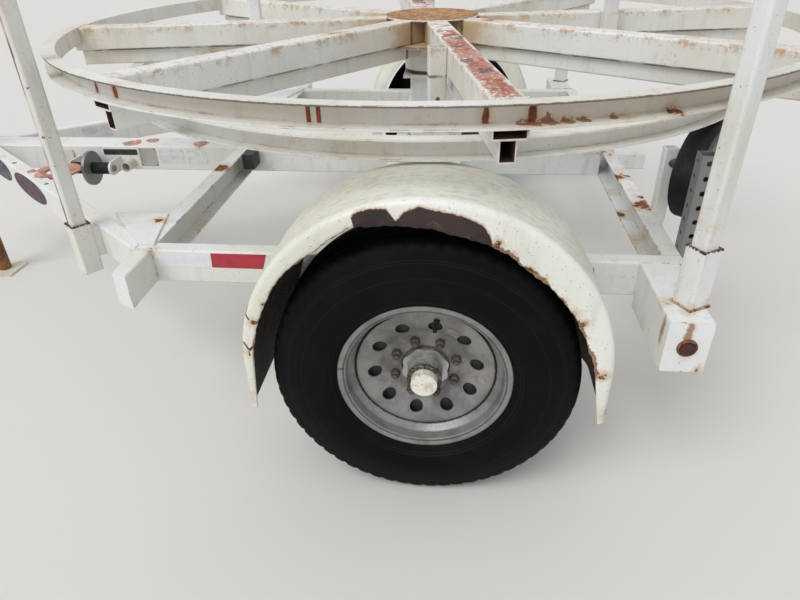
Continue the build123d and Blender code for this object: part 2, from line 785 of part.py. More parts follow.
# Hangers: a fork with its pin in front, an ear with two shackle plates behind
fork_half = spring_wide / 2 + hanger_thick
with BuildPart() as hangers:
    for x, foot_z in (
            (axle_x - main_half, eye_z - spring_eye),
            (axle_x + main_half, rail_bottom - shackle_wide - spring_eye)):
        for side in (-1, 1):
            if x < axle_x:
                for face in (-1, 1):
                    block(
                        (x - hanger_long / 2, x + hanger_long / 2),
                        sorted((
                            side * spring_y + face * (spring_wide / 2 + touch),
                            side * spring_y + face * (spring_wide / 2 + touch + hanger_thick))),
                        (foot_z, rail_bottom))
                with BuildSketch(Plane.XZ.offset(-side * spring_y)):
                    with Locations((x, eye_z)):
                        Circle(spring_pin)
                extrude(amount=fork_half, both=True)
                block(
                    (x - hanger_long / 2, x + hanger_long / 2),
                    (side * spring_y - fork_half, side * spring_y + fork_half),
                    (rail_bottom - hanger_thick, rail_bottom))
            else:
                block(
                    (x - hanger_long / 2, x + hanger_long / 2),
                    (side * spring_y - spring_wide / 2, side * spring_y + spring_wide / 2),
                    (foot_z, rail_bottom))
                with BuildSketch(Plane.XZ.offset(-side * spring_y - spring_wide)):
                    with Locations((x, rail_bottom - shackle_wide / 2 - spring_eye)):
                        Circle(spring_pin + touch)
                extrude(amount=2 * spring_wide, mode=Mode.SUBTRACT)
save(hangers.part, "spring_hangers")

ear_pin_z = rail_bottom - shackle_wide / 2 - spring_eye
with BuildPart() as shackles:
    for side in (-1, 1):
        for face in (-1, 1):
            with BuildSketch(Plane.XZ.offset(-side * spring_y - face * (spring_wide / 2 + touch))):
                with Locations((axle_x + main_half, (ear_pin_z + eye_z) / 2)):
                    SlotOverall(ear_pin_z - eye_z + shackle_wide, shackle_wide, rotation=90)
            extrude(amount=-face * hanger_thick)
        for z in (eye_z, ear_pin_z):
            with BuildSketch(Plane.XZ.offset(-side * spring_y)):
                with Locations((axle_x + main_half, z)):
                    Circle(spring_pin)
            extrude(amount=fork_half, both=True)
save(shackles.part, "spring_shackles")

# Wheels: section planes run from the axle's line outward
tread_half = tyre_tread_wide / 2
tyre_half = tyre_wide / 2
bead_half = bead_wide / 2
bead_low = bead_radius + touch
widest_r = (wheel_radius + bead_radius) / 2 - tyre_bulge_drop
cavity_r = wheel_radius - tyre_tread_thick
side_wall_lean = (tyre_half - bead_half) / (widest_r - bead_low)
outer_half = [
    (tyre_half, widest_r), (tyre_upper_wide / 2, tyre_upper_radius),
    (tread_half, wheel_radius - tyre_shoulder_drop), (tread_half / 2, wheel_radius)]
inner_half = [(bead_half, cavity_r), (bead_half, bead_low)]
tyre_section = outer_half + [(-across, radius) for across, radius in reversed(outer_half)]
tyre_section += [(-across, radius) for across, radius in reversed(inner_half)] + inner_half


def faceted_ring(section, middle):
    """Ring of flat sides; section points are (distance from the middle plane, corner radius)."""
    flats = []
    for number in range(tyre_facets):
        turns = [radians(360 * (number + step) / tyre_facets) for step in (0, 1)]
        for first, last in zip(section, section[1:] + section[:1]):
            corners = [
                middle.from_local_coords((radius * cos(turn), radius * sin(turn), across))
                for turn, (across, radius) in (
                    (turns[0], first), (turns[1], first), (turns[1], last), (turns[0], last))]
            flats.append(Face(Wire.make_polygon(corners, close=True)))
    return Solid(Shell(flats))


tyre_middle = Plane(
    origin=(axle_x, -tyre_centre_y, wheel_radius), x_dir=(1, 0, 0), z_dir=(0, -1, 0))
tyre = faceted_ring(tyre_section, tyre_middle)
save(tyre, "wheel_near_tyre")
save(tyre.mirror(Plane.XZ), "wheel_far_tyre")

for side, name in ((-1, "near"), (1, "far")):
    section = Plane(
        origin=(axle_x, side * tyre_centre_y, wheel_radius), x_dir=(0, side, 0), z_dir=(side, 0, 0))
    turning = Axis((axle_x, 0, wheel_radius), (0, 1, 0))
    disc_outer = rim_disc_y - tyre_centre_y
    disc_inner = disc_outer - rim_disc_thick
    with BuildPart() as rim:
        with BuildSketch(section):
            with BuildLine():
                lip_r = bead_radius + rim_lip
                well_r = bead_radius - rim_well
                edge = bead_half + touch
                flared = edge + side_wall_lean * rim_lip
                seat = bead_half - rim_seat
                outside = [
                    (0, well_r), (seat - rim_well, well_r), (seat, bead_radius),
                    (edge, bead_radius), (flared, lip_r), (edge + 2 * rim_wall, lip_r)]
                inside = [
                    (edge + 2 * rim_wall, lip_r - rim_wall), (edge + rim_wall, bead_radius - rim_wall),
                    (seat + rim_wall, bead_radius - rim_wall),
                    (seat + rim_wall - rim_well, well_r - rim_wall), (0, well_r - rim_wall)]
                for way in (1, -1):
                    Polyline([(way * across, height) for across, height in outside + inside])
            make_face()
            with BuildLine():
                disc_edge = well_r - rim_wall / 2
                Polyline(
                    (disc_outer, disc_edge), (disc_outer, rim_dish_radius + rim_dish),
                    (disc_outer - rim_dish, rim_dish_radius), (disc_outer - rim_dish, hub_bore),
                    (disc_inner - rim_dish, hub_bore), (disc_inner - rim_dish, rim_dish_radius),
                    (disc_inner, rim_dish_radius + rim_dish), (disc_inner, disc_edge), close=True)
            make_face()
        revolve(axis=turning)
        with BuildSketch(Plane.XZ.offset(-side * (rim_disc_y + rim_disc_thick))):
            with Locations((axle_x, wheel_radius)):
                with PolarLocations(hand_hole_circle, hand_hole_count, start_angle=hand_hole_start):
                    Circle(hand_hole_radius)
        extrude(amount=side * 3 * rim_disc_thick, mode=Mode.SUBTRACT)
    save(rim.part, f"wheel_{name}_rim")

    with BuildPart() as wheel_hub:
        flange = hub_flange_y - tyre_centre_y
        drum_in = drum_inner_y - tyre_centre_y
        hub_end = wheel_hub_end_y - tyre_centre_y
        barrel_end = hub_end - 2 * rim_dish - rim_disc_thick
        collar_end = flange + rim_disc_thick + rim_dish
        with BuildSketch(section):
            with BuildLine():
                Polyline(
                    (drum_in, drum_radius), (flange, drum_radius), (flange, wheel_hub_collar),
                    (collar_end, wheel_hub_collar), (collar_end, wheel_hub_barrel),
                    (barrel_end, wheel_hub_barrel), (barrel_end, wheel_cap_radius),
                    (hub_end, wheel_cap_radius), (hub_end, 0), (hub_end - rim_dish, 0),
                    (hub_end - rim_dish, spindle_end_radius + bearing_gap),
                    (drum_in, spindle_end_radius + bearing_gap),
                    (drum_in, wheel_hub_barrel), (flange - 2 * rim_disc_thick, wheel_hub_barrel),
                    (flange - 2 * rim_disc_thick, drum_radius - rim_disc_thick),
                    (drum_in, drum_radius - rim_disc_thick), close=True)
            make_face()
        revolve(axis=turning)
    save(wheel_hub.part, f"wheel_{name}_hub")

# Fenders: a half-round arch with straight ends, a deep rolled edge outside, a flange inside
def fender_section(plane):
    """Section of the fender; X is the distance from the trailer's middle, Y the radius."""
    inner_r = fender_radius - fender_wall
    with BuildSketch(plane) as outline:
        with BuildLine():
            FilletPolyline(
                (fender_inner_y, fender_radius - fender_flange), (fender_inner_y, fender_radius),
                (fender_outer_y, fender_radius), (fender_outer_y, fender_radius - fender_lip),
                radius=(fender_bend, fender_roll))
            Line(
                (fender_outer_y, fender_radius - fender_lip),
                (fender_outer_y - fender_wall, fender_radius - fender_lip))
            FilletPolyline(
                (fender_outer_y - fender_wall, fender_radius - fender_lip),
                (fender_outer_y - fender_wall, inner_r), (fender_inner_y + fender_wall, inner_r),
                (fender_inner_y + fender_wall, fender_radius - fender_flange),
                radius=(fender_roll - fender_wall, fender_bend - fender_wall))
            Line(
                (fender_inner_y + fender_wall, fender_radius - fender_flange),
                (fender_inner_y, fender_radius - fender_flange))
        make_face()
    return outline.sketch


with BuildPart() as fender:
    arch_middle = (axle_x, 0, fender_centre_z)
    crown = Plane(origin=arch_middle, x_dir=(0, -1, 0), z_dir=(-1, 0, 0))
    springing = Plane(origin=arch_middle, x_dir=(0, -1, 0), z_dir=(0, 0, 1))
    revolve(fender_section(crown), axis=Axis(arch_middle, (0, 1, 0)), revolution_arc=90)
    extrude(fender_section(springing), amount=fender_low_z - fender_centre_z)
    mirror(about=Plane.YZ.offset(axle_x))
save(fender.part, "fender_near")
save(fender.part.mirror(Plane.XZ), "fender_far")

with BuildPart() as fender_brackets:
    bracket_x = (fender_radius ** 2 - (fender_centre_z - rail_middle) ** 2) ** 0.5 - fender_flange / 2
    for x in (axle_x - bracket_x, axle_x + bracket_x):
        block(
            (x - bracket_long / 2, x + bracket_long / 2), (-fender_inner_y, -rail_outer_y),
            (rail_middle - bracket_long / 2, rail_middle + bracket_long / 2))
    mirror(about=Plane.XZ)
save(fender_brackets.part, "fender_brackets")

# Towing eye on the nose plate
eye_radius = eye_bore + eye_stock
eye_x = nose_x - eye_overhang + eye_radius
with BuildPart() as towing_eye:
    with BuildSketch(Plane(origin=(eye_x, 0, rail_middle), x_dir=(1, 0, 0), z_dir=(0, -1, 0))):
        with Locations((eye_bore + eye_stock / 2, 0)):
            RectangleRounded(eye_stock, eye_stock, eye_corner)
    revolve(axis=Axis((eye_x, 0, 0), (0, 0, 1)))
    with BuildSketch(Plane.YZ.offset(eye_x + eye_bore + eye_stock / 2)):
        with Locations((0, rail_middle)):
            RectangleRounded(eye_shank_wide, eye_shank_high, eye_corner)
    extrude(amount=nose_x - nose_plate_thick - eye_x - eye_bore - eye_stock / 2)
    with BuildSketch(Plane.YZ.offset(nose_x - nose_plate_thick)):
        with Locations((0, rail_middle)):
            RectangleRounded(nose_plate_wide, nose_plate_high, 2 * tube_corner)
    extrude(amount=nose_plate_thick)
save(towing_eye.part, "towing_eye")

# Jack: outer tube, sliding leg with its foot, and the crank on top
with BuildPart() as jack_tube:
    disc_block(
        jack_tube_radius, jack_tube_low, jack_tube_top, (jack_x, -jack_y),
        bore=jack_tube_radius - jack_tube_wall)
    disc_block(jack_cap_radius, jack_tube_top, jack_tube_top + jack_cap_high, (jack_x, -jack_y))
    with BuildSketch(Plane.XY.offset(rail_bottom + tube_corner)):
        with Locations((jack_x, -(jack_y + half_beam) / 2)):
            Rectangle(jack_bracket_wide, jack_y - half_beam)
        with Locations((jack_x, -jack_y)):
            Circle(jack_tube_radius - jack_tube_wall / 2, mode=Mode.SUBTRACT)
    extrude(amount=rail_high - 2 * tube_corner)
save(jack_tube.part, "jack_tube")

jack_leg_radius = jack_tube_radius - jack_tube_wall - touch
with BuildPart() as jack_leg:
    with BuildSketch():
        with Locations((jack_x, -jack_y)):
            RectangleRounded(jack_foot, jack_foot, jack_foot_thick)
    extrude(amount=jack_foot_thick)
    disc_block(
        jack_leg_radius, jack_foot_thick, jack_leg_top, (jack_x, -jack_y),
        bore=jack_leg_radius - jack_leg_wall)
save(jack_leg.part, "jack_leg")

with BuildPart() as jack_crank:
    rod_z = jack_tube_top + jack_cap_high / 2
    rod_start = -jack_y - jack_cap_radius
    arm_y = rod_start - 3 * jack_rod_radius
    with BuildSketch(Plane.XZ.offset(-rod_start + touch)):
        with Locations((jack_x, rod_z)):
            Circle(jack_rod_radius)
    extrude(amount=4 * jack_rod_radius)
    block(
        (jack_x - jack_rod_radius, jack_x + jack_rod_radius), (arm_y - jack_rod_radius, arm_y),
        (rod_z - jack_arm_long, rod_z))
    with BuildSketch(Plane.XZ.offset(-arm_y)):
        with Locations((jack_x, rod_z - jack_arm_long + jack_grip_radius)):
            Circle(jack_grip_radius)
    extrude(amount=jack_grip_long)
save(jack_crank.part, "jack_crank")

# Line roller beside the centre beam: lugs, shaft with its disc, and two sleeves
sleeve_gap = roller_disc_thick / 2 + touch
shaft_half = sleeve_gap + roller_sleeve_long + roller_lug_thick + touch
with BuildPart() as roller_lugs:
    for side in (-1, 1):
        lug_x = roller_x + side * (shaft_half - roller_lug_thick / 2)
        with BuildSketch(Plane.YZ.offset(lug_x)):
            with Locations((-roller_y, roller_z)):
                Circle(roller_lug_wide / 2)
            with Locations((-(roller_y + half_beam) / 2, roller_z)):
                Rectangle(roller_y - half_beam, roller_lug_wide)
            with Locations((-roller_y, roller_z)):
                Circle(roller_shaft_radius + touch, mode=Mode.SUBTRACT)
        extrude(amount=roller_lug_thick / 2, both=True)
save(roller_lugs.part, "roller_lugs")

with BuildPart() as roller:
    for radius, half in (
            (roller_shaft_radius, shaft_half + roller_lug_thick),
            (roller_disc_radius, roller_disc_thick / 2)):
        with BuildSketch(Plane.YZ.offset(roller_x)):
            with Locations((-roller_y, roller_z)):
                Circle(radius)
        extrude(amount=half, both=True)
save(roller.part, "line_roller")

with BuildPart() as roller_sleeves:
    for side in (-1, 1):
        with BuildSketch(Plane.YZ.offset(roller_x + side * sleeve_gap)):
            with Locations((-roller_y, roller_z)):
                Circle(roller_sleeve_radius)
                Circle(roller_shaft_radius + touch, mode=Mode.SUBTRACT)
        extrude(amount=side * roller_sleeve_long)
save(roller_sleeves.part, "roller_sleeves")

# Small steel pieces welded to the beam, and a ring plate on the near tongue rail
with BuildPart() as tongue_fittings:
    disc_block(
        ring_plate_radius, ring_plate_top - ring_plate_thick, ring_plate_top,
        (ring_plate_x, -ring_plate_y), bore=ring_plate_bore)
    split(
        bisect_by=Plane(
            origin=tongue_plane(0, -tongue_rail_wide, 0).origin, z_dir=(along_y, -along_x, 0)),
        keep=Keep.TOP)
    with BuildSketch(Plane.XZ.offset(half_beam)):
        with Locations((stub_tube_x, roller_z)):
            Circle(stub_tube_radius)
            Circle(stub_tube_radius - stub_tube_wall, mode=Mode.SUBTRACT)
    extrude(amount=stub_tube_long)
    with BuildSketch(Plane.XZ.offset(half_beam)):
        with Locations((slot_plate_x, rail_middle)):
            RectangleRounded(slot_plate_long, slot_plate_high, slot_plate_thick)
            SlotOverall(slot_plate_long / 2, slot_plate_high / 4, mode=Mode.SUBTRACT)
    extrude(amount=slot_plate_thick)
save(tongue_fittings.part, "tongue_fittings")

with BuildPart() as junction_box:
    box_x = front_cross_x + cross_flange
    block(
        (box_x, box_x + junction_box_deep),
        (-half_beam - junction_box_gap - junction_box_long, -half_beam - junction_box_gap),
        (rail_top - junction_box_high, rail_top))
save(junction_box.part, "junction_box")

# Receiver tube on the rear crossmember
with BuildPart() as receiver:
    long_tube(
        (rear_cross_x, rear_cross_x + receiver_long), 0,
        receiver_size, receiver_size, receiver_wall, tube_corner, rail_middle)
save(receiver.part, "rear_receiver")

# Friction drive wheel under the lower ring; its axle points at the turntable axis
drive_z = table_bottom - drive_gap - drive_radius
drive_half = drive_wide / 2


def drive_plane(inward, tangent=0):
    """Plane across the drive wheel's axle; X is anticlockwise, Y is up."""
    plane = radial_plane(drive_angle, drive_distance + inward, drive_z)
    return Plane(origin=plane.origin + plane.x_dir * tangent, x_dir=plane.x_dir, z_dir=plane.z_dir)


with BuildPart() as drive_tyre:
    with BuildSketch(drive_plane(-drive_half)):
        Circle(drive_radius)
        Circle(drive_radius - drive_tyre_thick, mode=Mode.SUBTRACT)
    extrude(amount=drive_wide)
    chamfer(drive_tyre.edges().filter_by(GeomType.CIRCLE).group_by(SortBy.RADIUS)[-1], drive_rim_wall)
save(drive_tyre.part, "drive_wheel_tyre")

with BuildPart() as drive_rim:
    rim_outer = drive_radius - drive_tyre_thick - touch
    with BuildSketch(drive_plane(-drive_half)):
        Circle(rim_outer)
        Circle(rim_outer - drive_rim_wall, mode=Mode.SUBTRACT)
        Circle(2 * drive_shaft_radius)
    extrude(amount=drive_wide)
    with BuildSketch(drive_plane(-drive_disc_thick / 2)):
        Circle(rim_outer - drive_rim_wall / 2)
    extrude(amount=drive_disc_thick)
    with BuildSketch(drive_plane(-drive_wide)):
        Circle(drive_shaft_radius + bearing_gap)
    extrude(amount=2 * drive_wide, mode=Mode.SUBTRACT)
save(drive_rim.part, "drive_wheel_rim")

plate_inner = drive_half + drive_side_gap
with BuildPart() as inner_upright:
    upright_tube(
        (inner_upright_x, -inner_upright_y), inner_upright_low, inner_upright_top,
        inner_upright_size, upright_wall, tube_corner)
save(inner_upright.part, "drive_upright_inner")

with BuildPart() as outer_upright:
    upright_tube(
        (outer_upright_x, -outer_upright_y), outer_upright_low, outer_upright_top,
        outer_upright_size, upright_wall, tube_corner)
    hole_count = int((outer_upright_top - outer_upright_low) / outer_upright_pitch)
    for plane in (Plane.YZ.offset(outer_upright_x), Plane.XZ.offset(outer_upright_y)):
        across = -outer_upright_y if plane.z_dir.X else outer_upright_x
        with BuildSketch(plane):
            with Locations((across, (outer_upright_low + outer_upright_top) / 2)):
                with GridLocations(outer_upright_pitch, outer_upright_pitch, 1, hole_count):
                    Circle(outer_upright_hole)
        extrude(amount=outer_upright_size, both=True, mode=Mode.SUBTRACT)
save(outer_upright.part, "drive_upright_outer")

# The bracket's plate ends on the outer upright, and its shaft on the inner one
middle = drive_plane(0)
to_inner = Vector(inner_upright_x, -inner_upright_y, drive_z) - middle.origin
to_outer = Vector(outer_upright_x, -outer_upright_y, drive_z) - middle.origin
shaft_start = to_inner.dot(middle.z_dir)
plate_start = to_outer.dot(middle.x_dir)
with BuildPart() as drive_bracket:
    with BuildSketch(drive_plane(shaft_start)):
        Circle(drive_shaft_radius)
    extrude(amount=plate_inner - shaft_start)
    with BuildSketch(drive_plane(plate_inner)):
        with Locations(((plate_start + drive_plate_end) / 2, 0)):
            Rectangle(drive_plate_end - plate_start, drive_plate_high)
    extrude(amount=drive_plate_thick)
    for x, y, size in (
            (inner_upright_x, -inner_upright_y, inner_upright_size),
            (outer_upright_x, -outer_upright_y, outer_upright_size)):
        block(
            (x - size / 2, x + size / 2), (y - size / 2, y + size / 2),
            (inner_upright_low, outer_upright_top), mode=Mode.SUBTRACT)
save(drive_bracket.part, "drive_wheel_bracket")
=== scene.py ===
# %% [markdown]
# # Dressing a coil tubing reel trailer
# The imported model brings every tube, plate and wheel at its real size. This script gives them
# their finishes and adds what is too small for the model: tyre tread, wheel nuts, weld beads,
# reflective tape, blank labels and bolts. The trailer has stood outside for years, so most of
# the work goes into old white enamel with rust that creeps in from its edges.

# %% Load the frame
import json
import math

import bmesh
import bpy
from mathutils import Matrix, Vector

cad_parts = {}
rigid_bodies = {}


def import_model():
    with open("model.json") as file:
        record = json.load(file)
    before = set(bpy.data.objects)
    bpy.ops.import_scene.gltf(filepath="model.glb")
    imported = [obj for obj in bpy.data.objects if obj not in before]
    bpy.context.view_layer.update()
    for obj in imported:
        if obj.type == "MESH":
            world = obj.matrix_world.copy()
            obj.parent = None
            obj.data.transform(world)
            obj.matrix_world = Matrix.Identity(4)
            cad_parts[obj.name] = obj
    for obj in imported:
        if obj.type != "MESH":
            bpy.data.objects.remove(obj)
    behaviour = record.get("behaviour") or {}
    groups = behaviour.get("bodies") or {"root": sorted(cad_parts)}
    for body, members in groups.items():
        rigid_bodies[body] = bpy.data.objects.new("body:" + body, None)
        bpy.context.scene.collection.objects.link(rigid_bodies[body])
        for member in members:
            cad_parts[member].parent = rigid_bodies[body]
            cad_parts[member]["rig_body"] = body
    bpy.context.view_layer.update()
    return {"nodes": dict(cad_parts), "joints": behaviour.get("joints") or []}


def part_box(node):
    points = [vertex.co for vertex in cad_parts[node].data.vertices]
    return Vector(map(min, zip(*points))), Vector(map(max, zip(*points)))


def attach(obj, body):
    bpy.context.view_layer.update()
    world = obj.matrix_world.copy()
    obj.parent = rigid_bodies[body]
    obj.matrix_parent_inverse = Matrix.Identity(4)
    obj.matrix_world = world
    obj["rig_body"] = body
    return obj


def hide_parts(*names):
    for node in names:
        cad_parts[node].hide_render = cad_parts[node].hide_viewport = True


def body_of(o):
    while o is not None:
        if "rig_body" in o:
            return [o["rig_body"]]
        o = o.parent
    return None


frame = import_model()
nodes = frame["nodes"]
joints = {joint["name"]: joint for joint in frame["joints"]}
scene = bpy.context.scene

# %% [markdown]
# ## The main places, read from the frame
# Every added piece takes its place from the model: the turntable's axis, the two wheels, the
# rails. So nothing here has to be fitted by eye, and a change of size in the model moves the
# pieces with it.

# %% Places
TAILWARD, SKY = Vector((1, 0, 0)), Vector((0, 0, 1))
axis_x, axis_y, _ = joints["turntable_spin"]["pos_m"]
wheels = {side: Vector(joints[f"wheel_{side}_spin"]["pos_m"]) for side in ("near", "far")}
outward = {"near": Vector((0, -1, 0)), "far": Vector((0, 1, 0))}
drive_centre = Vector(joints["drive_wheel_spin"]["pos_m"])
drive_axis = Vector(joints["drive_wheel_spin"]["axis"])
tyre_low, tyre_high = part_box("wheel_near_tyre")
tyre_radius = (tyre_high.z - tyre_low.z) / 2
rail_low, rail_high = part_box("side_rail_near")
rail_top = rail_high.z
table_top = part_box("turntable_ring_upper")[1].z
print("tyre radius", round(tyre_radius, 4), "rails' top", round(rail_top, 4))

# %% [markdown]
# ## Camera
# The photograph was taken with a phone held a little over a metre above the ground, looking
# down at the wheel. The camera's place and turn were solved from the wheel, the rings and the
# rails, so the render lines up with the photograph. It is built from its forward direction and
# then rolled about it by a degree, as a hand-held camera is.

# %% Camera
camera_place = Vector((axis_x + 0.1187, -2.472, 1.3632))
camera_yaw = math.radians(-6.0243)
camera_down = math.radians(31.7451)
camera_roll = math.radians(-1.3068)
focal_pixels = 611.95
photo_width = 800

forward = Vector((
    math.sin(camera_yaw) * math.cos(camera_down),
    math.cos(camera_yaw) * math.cos(camera_down),
    -math.sin(camera_down)))
level_right = Vector((math.cos(camera_yaw), -math.sin(camera_yaw), 0))
level_up = level_right.cross(forward)
right = level_right * math.cos(camera_roll) + level_up * math.sin(camera_roll)
up = level_up * math.cos(camera_roll) - level_right * math.sin(camera_roll)

camera_data = bpy.data.cameras.new("camera")
camera_data.sensor_width = 36
camera_data.lens = camera_data.sensor_width * focal_pixels / photo_width
camera_data.clip_start = 0.05
camera = bpy.data.objects.new("camera", camera_data)
turn = Matrix((right, up, -forward)).transposed()
camera.matrix_world = Matrix.Translation(camera_place) @ turn.to_4x4()
scene.collection.objects.link(camera)
scene.camera = camera
print("lens", round(camera_data.lens, 2), "mm")

# %% [markdown]
# ## Adding nodes
# Materials and Geometry Nodes are both built from nodes. One function adds a node with its
# settings and its links. The masks further on use a dozen nodes over and over, so these are
# written down once, as a table, and put() looks one up by its name and fills its inputs in
# order. Colours are sRGB hex, the way a colour picker gives them, and are made linear here.

# %% Nodes


def linear(hex_colour):
    """sRGB hex to the linear colour that Blender's sockets take."""
    channels = [int(hex_colour[i:i + 2], 16) / 255 for i in (0, 2, 4)]
    straight = [c / 12.92 if c <= 0.04045 else ((c + 0.055) / 1.055) ** 2.4 for c in channels]
    return (*straight, 1)


def add(tree, kind, inputs=None, **settings):
    """Adds a node; inputs maps a socket's name or number to a value or to another node's output."""
    made = tree.nodes.new(kind)
    for name, value in settings.items():
        setattr(made, name, value)
    for key, value in (inputs or {}).items():
        if isinstance(value, bpy.types.NodeSocket):
            tree.links.new(value, made.inputs[key])
        else:
            made.inputs[key].default_value = value
    return made


# What put() can add, as data: the node, its settings, the inputs that the values fill in order,
# and the output it gives back. STEP is smooth from 0 to 1, or back where its first place is the
# higher one. TINT mixes colours, BETWEEN mixes numbers, and TIMES to LONG work on vectors. A
# NOISE takes its scale as 1000 / the size of its grains in millimetres.
RECIPES = {
    "PLACE": ("ShaderNodeTexCoord", {}, (), "Object"),
    "NOISE": (
        "ShaderNodeTexNoise", {}, ("Vector", "Scale", "Detail", "Roughness", "Distortion"), "Fac"),
    "STEP": (
        "ShaderNodeMapRange", {"interpolation_type": "SMOOTHSTEP"},
        ("Value", "From Min", "From Max", "To Min", "To Max"), "Result"),
    "SLOPE": ("ShaderNodeMapRange", {}, ("Value", "From Min", "From Max"), "Result"),
    "TINT": ("ShaderNodeMix", {"data_type": "RGBA"}, ("Factor", "A", "B"), 2),
    "BETWEEN": ("ShaderNodeMix", {}, ("Factor", "A", "B"), 0),
    "STRETCHED": ("ShaderNodeMapping", {}, ("Vector", "Scale"), 0),
}
for operation in (
        "ADD", "SUBTRACT", "MULTIPLY", "MAXIMUM", "ABSOLUTE", "SQRT", "SINE", "ARCTAN2",
        "FLOORED_MODULO", "GREATER_THAN", "LESS_THAN"):
    RECIPES[operation] = ("ShaderNodeMath", {"operation": operation}, (0, 1), 0)
for label, operation, output in (
        ("TIMES", "MULTIPLY", 0), ("OFFSET", "SUBTRACT", 0), ("ONTO", "PROJECT", 0),
        ("UNIT", "NORMALIZE", 0), ("DOT", "DOT_PRODUCT", "Value"),
        ("GAP", "DISTANCE", "Value"), ("LONG", "LENGTH", "Value")):
    RECIPES[label] = ("ShaderNodeVectorMath", {"operation": operation}, (0, 1), output)


def put(tree, recipe, *values):
    """Adds the node of a recipe and returns its output; a hex colour is made linear on the way."""
    kind, settings, sockets, output = RECIPES[recipe]
    values = [linear(value) if isinstance(value, str) else value for value in values]
    return add(tree, kind, dict(zip(sockets, values)), **settings).outputs[output]


print("recipes", len(RECIPES))

# %% [markdown]
# ## Light and floor
# The day was overcast: light from the whole sky, with only a hint of direction. A pale world
# gives most of the light, and one very soft sun from the front gives the shapes some relief.
# Together they make a white surface render about as white as its colour is written.

# %% Light and floor
scene.view_settings.view_transform = "Standard"

world = bpy.data.worlds.new("overcast_sky")
world.use_nodes = True
scene.world = world
sky = world.node_tree.nodes["Background"]
sky.inputs["Color"].default_value = linear("F4F6FA")
sky.inputs["Strength"].default_value = 0.76

sun_data = bpy.data.lights.new("soft_sun", "SUN")
sun_data.energy = 1.5
sun_data.angle = math.radians(35)
sun = bpy.data.objects.new("soft_sun", sun_data)
sun.rotation_euler = (math.radians(38), math.radians(-14), math.radians(-20))
scene.collection.objects.link(sun)

floor_mesh = bpy.data.meshes.new("floor")
reach = 30
floor_mesh.from_pydata(
    [(-reach, -reach, 0), (reach, -reach, 0), (reach, reach, 0), (-reach, reach, 0)],
    [], [(0, 1, 2, 3)])
floor = bpy.data.objects.new("floor", floor_mesh)
scene.collection.objects.link(floor)
floor_material = bpy.data.materials.new("pale_floor")
floor_material.use_nodes = True
floor_shader = floor_material.node_tree.nodes["Principled BSDF"]
floor_shader.inputs["Base Color"].default_value = linear("D9D6D1")
floor_shader.inputs["Roughness"].default_value = 0.9
floor_mesh.materials.append(floor_material)
print("world", world.name, "floor", 2 * reach, "m wide")

# %% [markdown]
# ## Pieces and their meshes
# A model's triangles are loose and shaded flat, which is right for a plate and wrong for a
# tube. A node's mesh may not be changed, so a round part gets a copy: its points are merged,
# edges sharper than about thirty degrees stay sharp, and the rest is shaded smooth. New round
# parts are turned from an outline, as on a lathe, and go through the same last step.

# %% Making pieces
LABEL_FILM = 0.0004


def settled(mesh, sharp_degrees=32, turn_out=True):
    """Merges a mesh's doubles, points its faces outwards and shades it smooth between edges."""
    work = bmesh.new()
    work.from_mesh(mesh)
    bmesh.ops.remove_doubles(work, verts=work.verts, dist=0.00001)
    if turn_out:
        bmesh.ops.recalc_face_normals(work, faces=work.faces)
    for face in work.faces:
        face.smooth = True
    for edge in work.edges:
        edge.smooth = edge.calc_face_angle(math.pi) < math.radians(sharp_degrees)
    work.to_mesh(mesh)
    work.free()
    return mesh


def piece(name, mesh, body, material, stands_for=()):
    """A finished mesh as a piece that rides on a body, in place of the nodes it stands for."""
    made = bpy.data.objects.new(name, mesh)
    scene.collection.objects.link(made)
    if not mesh.materials:
        mesh.materials.append(material)
    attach(made, body)
    if stands_for:
        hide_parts(*stands_for)
    return made


def turned(name, outline, centre, axis, steps=128):
    """Mesh turned about an axis. The outline's points are (distance along the axis, radius)."""
    axis = axis.normalized()
    side = axis.orthogonal().normalized()
    across = axis.cross(side)
    rows = len(outline)
    points = []
    for step in range(steps):
        angle = 2 * math.pi * step / steps
        away = side * math.cos(angle) + across * math.sin(angle)
        points += [centre + axis * along + away * radius for along, radius in outline]
    faces = [
        (this + row, this + row + 1, after + row + 1, after + row)
        for this, after in ((step * rows, (step + 1) % steps * rows) for step in range(steps))
        for row in range(rows - 1)]
    mesh = bpy.data.meshes.new(name)
    mesh.from_pydata(points, [], faces)
    return settled(mesh)


def plate(name, outline, corner, along, upward, thick):
    """Thin plate: its outline's points (u along, v upward) from a corner, thickened outwards."""
    facing = along.cross(upward).normalized()
    flat = [corner + along * u + upward * v for u, v in outline]
    count = len(flat)
    points = flat + [point + facing * thick for point in flat]
    faces = [tuple(range(count)), tuple(range(2 * count - 1, count - 1, -1))]
    faces += [(i, (i + 1) % count, count + (i + 1) % count, count + i) for i in range(count)]
    mesh = bpy.data.meshes.new(name)
    mesh.from_pydata(points, [], faces)
    return settled(mesh)


def joined(name, meshes):
    """Several meshes as one."""
    work = bmesh.new()
    for mesh in meshes:
        work.from_mesh(mesh)
    whole = bpy.data.meshes.new(name)
    work.to_mesh(whole)
    work.free()
    return whole


def oval(width, height, power=2, steps=40):
    """Outline of an oval; a higher power makes it a rounded rectangle."""
    points = []
    for step in range(steps):
        angle = 2 * math.pi * step / steps
        u, v = math.cos(angle), math.sin(angle)
        points.append((
            math.copysign(abs(u) ** (2 / power), u) * width / 2,
            math.copysign(abs(v) ** (2 / power), v) * height / 2))
    return points


# %% [markdown]
# ## Geometry Nodes for what repeats
# Wheel nuts, rivets and weld beads are one shape many times over, on points or along a path.
# Modelling each by hand would be slow and stiff. A Geometry Nodes tree takes the points, puts
# the shape on each, and turns it to the face it sits on. The export drops instances, so each
# tree ends by making them real, and its result is kept as a plain mesh.

# %% Trees that grow a mesh


